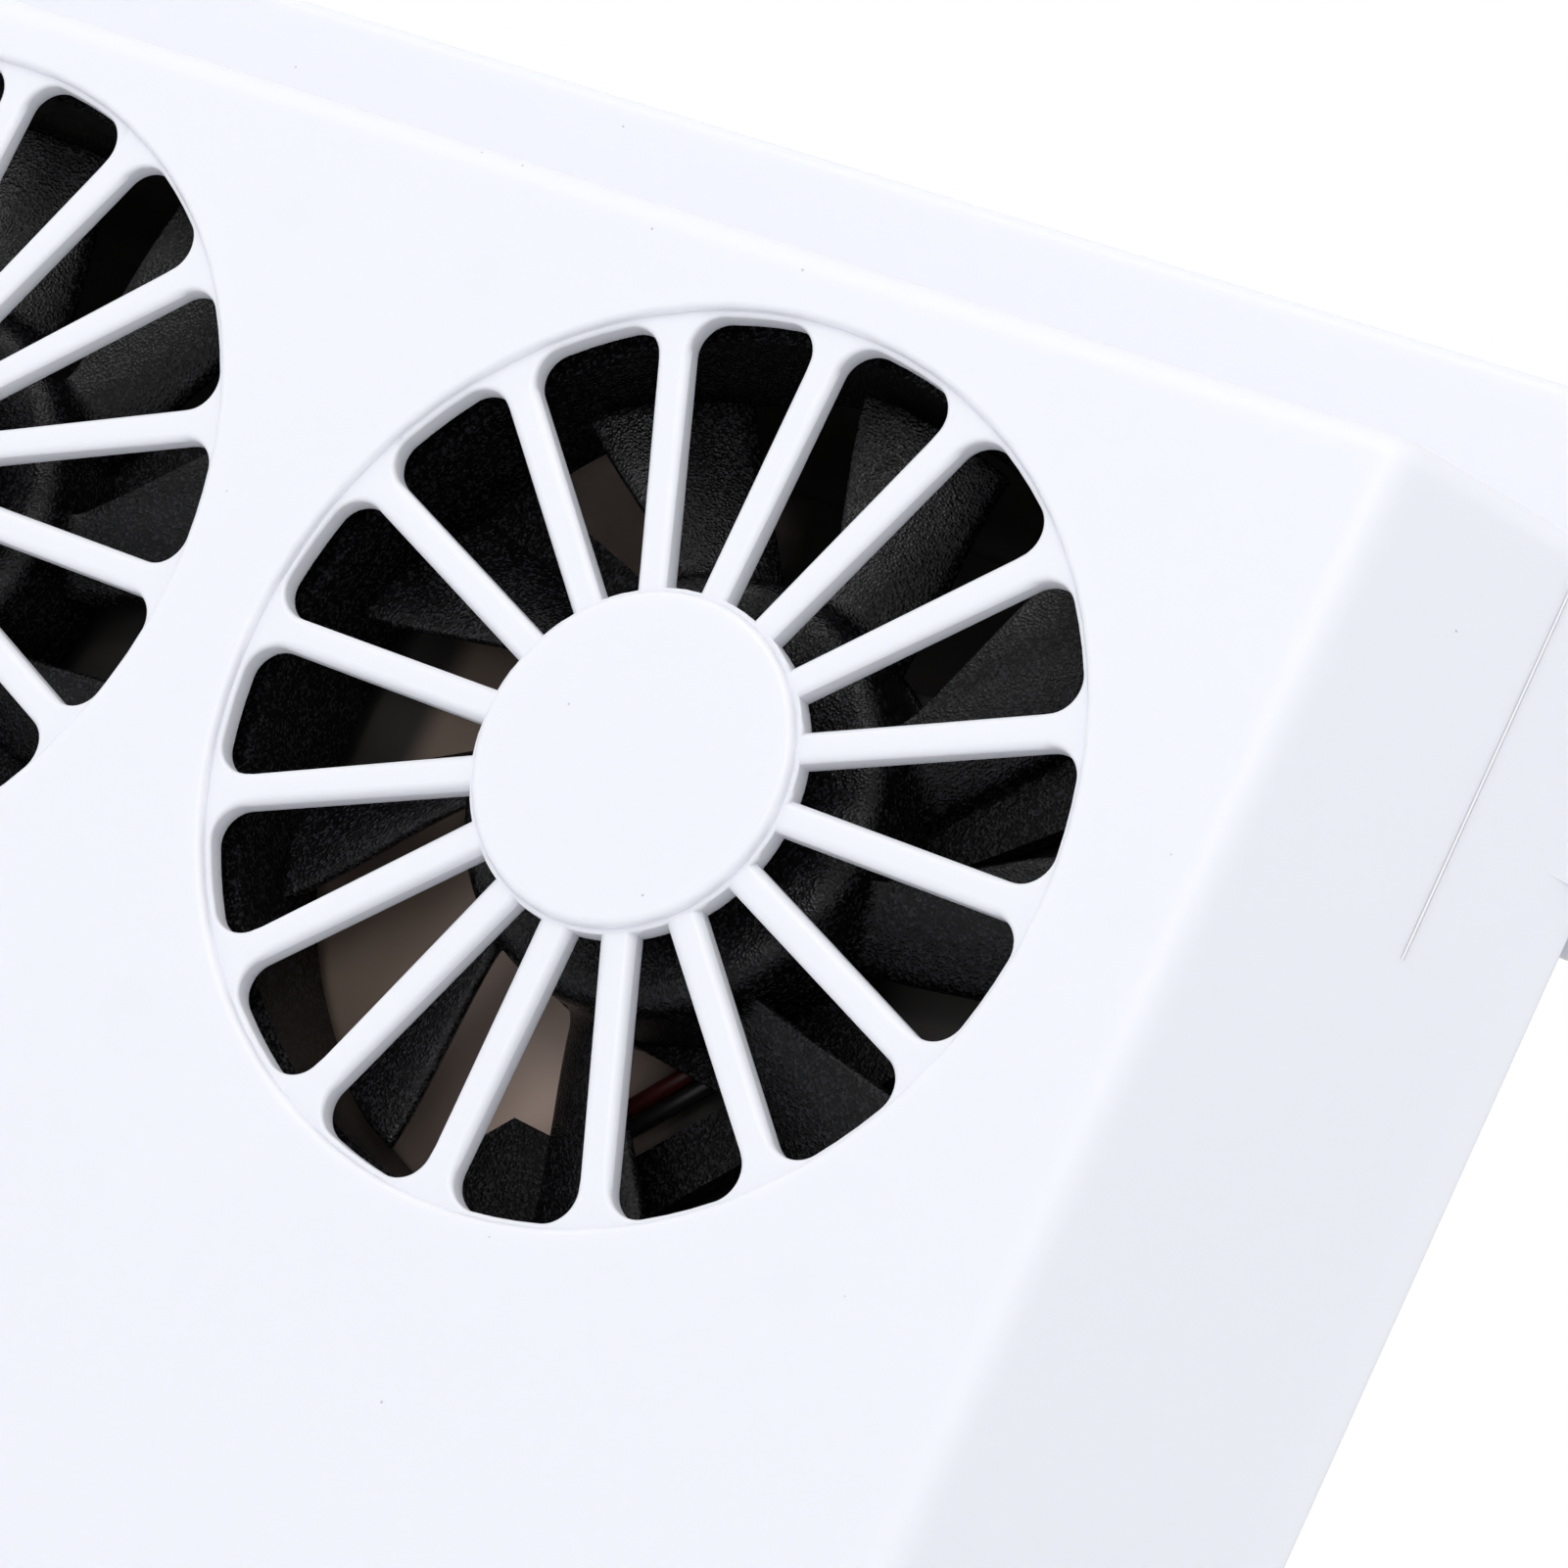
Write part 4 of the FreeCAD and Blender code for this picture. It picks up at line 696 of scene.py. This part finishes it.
def bladeSection(radius):  # (place across from -1 to 1, lift) round the blade at one radius
    look = rotorLook
    front = look["bladeFront"] + look["thick"] / 2
    rear = look["bladeRear"] - look["thick"] / 2
    out = max(0.0, radius - look["hubRadius"])
    flare = roundedOff(look["flare"], 1 - out / look["flare"])
    half = look["thick"] / 2 - roundedOff(look["tipRound"], 1 - (look["tip"] - radius) / look["tipRound"])
    cap = half / (radius * math.radians(look["turn"]) / 2)
    limit = look["hubEnd"] - look["rootClear"] + max(0.0, out - look["rootRun"]) * look["rootRise"]
    across = [(-1 + 2 * step / look["steps"]) * (1 - cap) for step in range(look["steps"] + 1)]
    edge = [(math.sin(math.radians(angle)), math.cos(math.radians(angle))) for angle in look["edgeAngles"]]
    points = [(place, 1) for place in across]
    points += [(1 - cap + cap * ahead, up) for ahead, up in edge]
    points += [(-place, -1) for place in across]
    points += [(-1 + cap - cap * ahead, -up) for ahead, up in edge]
    section = []
    for place, skin in points:
        lift = (front + rear) / 2 + (rear - front) / 2 * place - look["camber"] * (1 - place * place)
        section.append((place, min(lift - skin * (half + flare), look["bladeRear"], limit)))
    return section


def bladeMesh(rest):
    look = rotorLook
    turn = math.radians(look["turn"])
    work = bmesh.new()
    rings = []
    for radius in bladeRadii():
        share = (radius - look["hubRadius"]) / (look["tip"] - look["hubRadius"])
        ahead = look["sweep"] * share + 4 * look["bow"] * share * (1 - share)
        middle = turn / 2 - math.radians(rest + ahead)
        ring = []
        for place, lift in bladeSection(radius):
            angle = middle + turn / 2 * place
            x, z = radius * math.cos(angle), -radius * math.sin(angle)
            ring.append(work.verts.new((x * mm, lift * mm, z * mm)))
        rings.append(ring)
    for first, second in zip(rings, rings[1:]):
        for index in range(len(first)):
            after = (index + 1) % len(first)
            work.faces.new((first[index], first[after], second[after], second[index]))
    work.faces.new(rings[0])
    work.faces.new(rings[-1])
    bmesh.ops.recalc_face_normals(work, faces=work.faces)
    return meshOf(work, "blade")


def bladeRing():
    ring = Growth("bladeRing", {"Blade Count": "NodeSocketInt"})
    points = ring.node("GeometryNodePoints", {}, {"Count": ring.input("Blade Count")})
    index = ring.node("GeometryNodeInputIndex", {}, {})
    apart = ring.node("ShaderNodeMath", {"operation": "DIVIDE"}, {0: math.tau, 1: ring.input("Blade Count")})
    angle = index * apart
    euler = ring.node("ShaderNodeCombineXYZ", {}, {"Y": angle})
    turn = ring.node("FunctionNodeEulerToRotation", {}, {"Euler": euler})
    copies = ring.node("GeometryNodeInstanceOnPoints", {},
                       {"Points": points, "Instance": ring.input("Geometry"), "Rotation": turn})
    ring.finish(copies, finishes["fan_plastic"])
    return ring


def hubProfile():
    look = rotorLook
    inside = look["hubRadius"] - look["hubWall"]
    floor = look["hubFront"] + look["hubWall"]
    corner = (look["hubRadius"] - look["hubRound"], look["hubFront"] + look["hubRound"])
    profile = [(0, look["hubFront"]), *arcPoints(corner, look["hubRound"], -90, 0, look["roundSteps"]),
               (look["hubRadius"], look["hubEnd"]), (inside, look["hubEnd"]), (inside, floor),
               (look["bossRadius"], floor), (look["bossRadius"], look["bossEnd"]),
               (look["boreRadius"], look["bossEnd"]), (look["boreRadius"], look["boreFront"]),
               (0, look["boreFront"])]
    return [(radius * mm, along * mm) for radius, along in profile]


def fanRotors():
    ring = bladeRing()
    for side in sides:
        blades = ring.grow(bladeMesh(rotorLook["rest"][side]), {"Blade Count": rotorLook["count"]})
        work = lathe(hubProfile(), rotorLook["hubSteps"])
        work.from_mesh(blades)
        axis = fanAxes[side]
        bmesh.ops.translate(work, verts=work.verts, vec=(axis.x, frontY + rotorLook["front"] * mm, axis.z))
        mesh = softened(meshOf(work, "rotor"))
        addPiece("fanRotor." + side, mesh, "fan_plastic", "rotor_" + side, "fan_plastic", "fan_rotor_" + side)


fanRotors()
print("fan rotors")


# screws: pan heads with a cross recess, on the seats of the solids that they stand for

screwLook = {"head": 2.6, "height": 1.6, "crown": 0.7, "shank": 1.15, "tip": 0.4,  # millimetres
             "recessLength": 3.0, "recessWidth": 0.7, "recessDepth": 0.9,
             "domeAngles": (90, 75, 60, 45, 30, 15), "sharp": 30, "steps": 40, "seed": 5}


def screwBlank(length):
    look = screwLook
    base = -look["height"]
    end = base - length
    turns = [math.radians(angle) for angle in look["domeAngles"]]
    dome = [(look["head"] * math.sin(turn), look["crown"] * (math.cos(turn) - 1)) for turn in turns]
    profile = [(0, end), (look["shank"] - look["tip"], end), (look["shank"], end + look["tip"]),
               (look["shank"], base), (look["head"], base), *dome, (0, 0)]
    work = lathe([(radius * mm, along * mm) for radius, along in profile], look["steps"])
    return newObject("screwBlank", meshOf(work, "screwBlank"))


def crossHeads():
    heads = Growth("crossHeads", {"Blank": "NodeSocketObject", "Recess Length": "NodeSocketFloat",
                                  "Recess Width": "NodeSocketFloat", "Recess Depth": "NodeSocketFloat"})
    blank = heads.node("GeometryNodeObjectInfo", {}, {"Object": heads.input("Blank")}, "Geometry")
    sizes = heads.input("Recess Length"), heads.input("Recess Depth") * 2, heads.input("Recess Width")
    arms = []
    for order in ((0, 1, 2), (2, 1, 0)):
        size = heads.node("ShaderNodeCombineXYZ", {}, dict(zip("XYZ", (sizes[place] for place in order))))
        arms.append(heads.node("GeometryNodeMeshCube", {}, {"Size": size}))
    cross = heads.node("GeometryNodeMeshBoolean", {"operation": "UNION"}, {"Mesh 2": arms[0]}, None)
    heads.tree.links.new(arms[1].socket, cross.inputs["Mesh 2"])
    screw = heads.node("GeometryNodeMeshBoolean", {"operation": "DIFFERENCE"},
                       {"Mesh 1": blank, "Mesh 2": Value(heads, cross.outputs["Mesh"])})
    points = heads.node("GeometryNodeMeshToPoints", {}, {"Mesh": heads.input("Geometry")})
    chance = {"Min": 0.0, "Max": math.tau, "Seed": screwLook["seed"]}
    angle = heads.node("FunctionNodeRandomValue", {}, chance, 1)
    euler = heads.node("ShaderNodeCombineXYZ", {}, {"Y": angle})
    turn = heads.node("FunctionNodeEulerToRotation", {}, {"Euler": euler})
    copies = heads.node("GeometryNodeInstanceOnPoints", {},
                        {"Points": points, "Instance": screw, "Rotation": turn})
    heads.finish(copies, finishes["screw_steel"])
    return heads


def screwSets():
    heads = crossHeads()
    sizes = {"Recess Length": screwLook["recessLength"] * mm, "Recess Width": screwLook["recessWidth"] * mm,
             "Recess Depth": screwLook["recessDepth"] * mm}
    for name, node in {"saddleScrews": "saddle_screws", "rearScrews": "rear_screws"}.items():
        low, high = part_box(node)
        blank = screwBlank((high.y - low.y) / mm - screwLook["height"])
        inset = screwLook["head"] * mm
        places = [(x, high.y, z)
                  for x in (low.x + inset, high.x - inset) for z in (low.z + inset, high.z - inset)]
        seed = bpy.data.meshes.new("screwPlaces")
        seed.from_pydata(places, [], [])
        mesh = heads.grow(seed, {"Blank": blank, **sizes})
        bpy.data.objects.remove(blank)
        addPiece(name, softened(mesh, screwLook["sharp"]), "screw_steel", "case", "screw_steel", node)


screwSets()
print("screws")


# solar panel: printed busbars on the cells, clear resin over them

panelLook = {"cells": 12, "gap": 1.0 * mm, "busbar": 0.9 * mm, "print": 0.02 * mm, "end": 0.8 * mm,
             "coverRound": 0.45 * mm, "roundSteps": 4, "coverGap": 0.05 * mm}


def busbarTree():
    labels = {"X": "Width", "Y": "Height", "Z": "Length"}
    bars = Growth("busbars", {label: "NodeSocketFloat" for label in labels.values()})
    size = bars.node("ShaderNodeCombineXYZ", {}, {axis: bars.input(label) for axis, label in labels.items()})
    strip = bars.node("GeometryNodeMeshCube", {}, {"Size": size})
    points = bars.node("GeometryNodeMeshToPoints", {}, {"Mesh": bars.input("Geometry")})
    copies = bars.node("GeometryNodeInstanceOnPoints", {}, {"Points": points, "Instance": strip})
    bars.finish(copies, finishes["socket_steel"])
    return bars


def roundedSlab(low, high, radius):
    work = bmesh.new()
    bmesh.ops.create_cube(work, size=1.0)
    for vert in work.verts:
        vert.co = Vector((start + (end - start) * (share + 0.5)
                          for start, end, share in zip(low, high, vert.co)))
    bmesh.ops.bevel(work, geom=work.edges[:], offset=radius, segments=panelLook["roundSteps"], profile=0.5,
                    affect="EDGES")
    return softened(meshOf(work, "slab"))


def solarPanel():
    look = panelLook
    low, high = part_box("solar_cells")
    pitch = (high.x - low.x + look["gap"]) / look["cells"]
    seed = bpy.data.meshes.new("busbarPlaces")
    middles = [low.x + pitch * index + (pitch - look["gap"]) / 2 for index in range(look["cells"])]
    seed.from_pydata([(x, high.y, (low.z + high.z) / 2) for x in middles], [], [])
    length = high.z - low.z - look["end"]
    bars = busbarTree().grow(seed, {"Width": look["busbar"], "Height": look["print"], "Length": length})
    addPiece("busbars", bars, "socket_steel", "case", "socket_steel")
    low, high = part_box("panel_cover")
    cover = roundedSlab((low.x, low.y + look["coverGap"], low.z), high, look["coverRound"])
    addPiece("panelCover", cover, "clear_cover", "case", "clear_cover", "panel_cover")


solarPanel()
print("solar panel")


# soft strips: two glass pads and the battery's tape

stripLook = {"across": 72, "up": 12, "crown": 0.08, "pull": 0.02, "edge": 0.3, "edgeRise": 0.12,
             "endFall": 40, "sideFall": 8, "wave": 0.2, "waveAlong": 9, "waveUp": 3, "waveStart": 1,
             "sharp": 50}


def stripRise(u, v):  # the share of the full thickness, full in the middle and low at the edges
    look = stripLook
    wave = look["wave"] * math.sin(look["waveAlong"] * u) * math.sin(look["waveUp"] * v + look["waveStart"])
    rise = ((1 - u ** look["endFall"]) * (1 - v ** look["sideFall"])) ** look["edge"]
    rise *= 1 - look["crown"] * (v * v + wave)
    return max(look["edgeRise"], min(1.0, rise))


def stripMesh(low, high, facing):  # flat on its carrier, crowned towards facing along y
    look = stripLook
    base, top = (low.y, high.y) if facing > 0 else (high.y, low.y)
    work = bmesh.new()
    skins = []
    for crowned in (0, 1):
        skin = []
        for i in range(look["across"] + 1):
            u = 2 * i / look["across"] - 1
            for j in range(look["up"] + 1):
                v = 2 * j / look["up"] - 1
                pull = 1 - look["pull"] * (1 - u * u)
                x = (low.x + high.x) / 2 + u * (high.x - low.x) / 2
                z = (low.z + high.z) / 2 + v * (high.z - low.z) / 2 * pull
                skin.append(work.verts.new((x, base + (top - base) * stripRise(u, v) * crowned, z)))
        skins.append(skin)
    wide = look["up"] + 1
    for skin in skins:
        for i in range(look["across"]):
            for j in range(look["up"]):
                corner = i * wide + j
                work.faces.new([skin[corner], skin[corner + wide], skin[corner + wide + 1], skin[corner + 1]])
    rim = [*range(wide), *(i * wide + look["up"] for i in range(1, look["across"] + 1))]
    rim += [look["across"] * wide + j for j in reversed(range(look["up"]))]
    rim += [i * wide for i in reversed(range(1, look["across"]))]
    for first, second in zip(rim, rim[1:] + rim[:1]):
        work.faces.new((skins[0][first], skins[0][second], skins[1][second], skins[1][first]))
    bmesh.ops.recalc_face_normals(work, faces=work.faces)
    return softened(meshOf(work, "strip"), look["sharp"])


for name, (node, facing, slot) in {"frontGlassPad": ("front_glass_pad", 1, "pad_rubber"),
                                   "rearGlassPad": ("rear_glass_pad", -1, "pad_rubber"),
                                   "batteryTape": ("battery_tape", 1, "foam_tape")}.items():
    addPiece(name, stripMesh(*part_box(node), facing), slot, "case", slot, node)
print("soft strips")


# power button: a cap with a soft rim

buttonLook = {"easing": 0.5 * mm, "segments": 4}
addPiece("powerButton", easedMesh("power_button", lambda edge: 1.0, buttonLook), "button_plastic", "button",
         "button_plastic", "power_button")
print("power button")


# stage: pale floor, soft light, white behind

stageLook = {"floor": (0.88, 0.885, 0.90), "floorRoughness": 0.8, "clouds": 40.0, "cloudTint": 0.004,
             "size": 6.0, "fade": (0.3, 1.3),  # metres, as the lamps below
             "fill": 0.765, "fillColour": (0.965, 0.985, 1.0)}
lampLook = {
    "keyLamp": {"place": (-0.15, -0.95, 0.95), "size": 0.7, "power": 3.1, "colour": (1.0, 0.99, 0.985)},
    "frontLamp": {"place": (0.20, -1.12, 0.42), "size": 0.4, "power": 1.9, "colour": (1.0, 0.99, 0.985)},
    "sideLamp": {"place": (1.15, -0.10, 0.30), "size": 0.3, "power": 0.3, "colour": (0.97, 0.985, 1.0)},
}


def seenShare(paint):  # 1 for what the camera sees, by itself or in gloss and glass
    path = paint.node("ShaderNodeLightPath", {}, {}, None)
    seen = Value(paint, path.outputs["Is Camera Ray"]) + Value(paint, path.outputs["Is Glossy Ray"])
    return (seen + Value(paint, path.outputs["Is Transmission Ray"])).clamp()


def makeFloor():  # pale, with the shadow near the object, and fading into the white of the world further off
    half = stageLook["size"] / 2
    mesh = bpy.data.meshes.new("floor")
    corners = [(-half, -half, 0), (half, -half, 0), (half, half, 0), (-half, half, 0)]
    mesh.from_pydata(corners, [], [(0, 1, 2, 3)])
    floor = newObject("floor", mesh)
    paint = Paint("floorPaint")
    cloud = paint.noise(stageLook["clouds"], detail=3.0)
    colour = paint.tint(cloud, stageLook["floor"], stageLook["cloudTint"])
    near = paint.node("ShaderNodeBsdfPrincipled", {},
                      {"Base Color": colour, "Roughness": stageLook["floorRoughness"]})
    white = paint.node("ShaderNodeEmission", {}, {"Color": (1, 1, 1, 1), "Strength": 1.0})
    reach = paint.node("ShaderNodeVectorMath", {"operation": "LENGTH"}, {0: paint.place()}, "Value")
    far = reach.over(*stageLook["fade"]) * seenShare(paint)
    both = paint.node("ShaderNodeMixShader", {}, {0: far, 1: near, 2: white})
    paint.node("ShaderNodeOutputMaterial", {}, {"Surface": both}, None)
    mesh.materials.append(paint.material)


def makeWorld():
    world = bpy.data.worlds.new("studio")
    scene.world = world
    world.use_nodes = True
    paint = Tree(world.node_tree)
    fill = paint.node("ShaderNodeBackground", {},
                      {"Color": (*stageLook["fillColour"], 1), "Strength": stageLook["fill"]})
    white = paint.node("ShaderNodeBackground", {}, {"Color": (1, 1, 1, 1), "Strength": 1.0})
    both = paint.node("ShaderNodeMixShader", {}, {0: seenShare(paint), 1: fill, 2: white})
    paint.node("ShaderNodeOutputWorld", {}, {"Surface": both}, None)


def makeLamps():  # all aimed at the middle of the object
    middle = (cadBox[0] + cadBox[1]) / 2
    for name, look in lampLook.items():
        lamp = bpy.data.lights.new(name, "AREA")
        lamp.shape = "DISK"
        lamp.size = look["size"]
        lamp.energy = look["power"]
        lamp.color = look["colour"]
        holder = newObject(name, lamp)
        holder.location = look["place"]
        holder.rotation_euler = (Vector(look["place"]) - middle).to_track_quat("Z", "Y").to_euler()


makeFloor()
makeWorld()
makeLamps()
print("stage: floor, world and lamps")


# camera, at the photograph's place

cameraLook = {
    "place": (253.1 * mm, -322.5 * mm, 22.9 * mm),
    "right": (0.8101, 0.4053, 0.4237),
    "up": (-0.2998, -0.3346, 0.8934),
    "lens": 139.05, "sensor": 36.0, "nearest": 10 * mm,
}


def makeCamera():
    data = bpy.data.cameras.new("camera")
    data.lens = cameraLook["lens"]
    data.sensor_width = cameraLook["sensor"]
    data.clip_start = cameraLook["nearest"]
    camera = newObject("camera", data)
    right = Vector(cameraLook["right"]).normalized()
    back = right.cross(Vector(cameraLook["up"])).normalized()
    up = back.cross(right)
    turn = Matrix((right, up, back)).transposed().to_4x4()
    camera.matrix_world = Matrix.Translation(cameraLook["place"]) @ turn
    scene.camera = camera


makeCamera()
scene.view_settings.view_transform = "Standard"
print("camera")
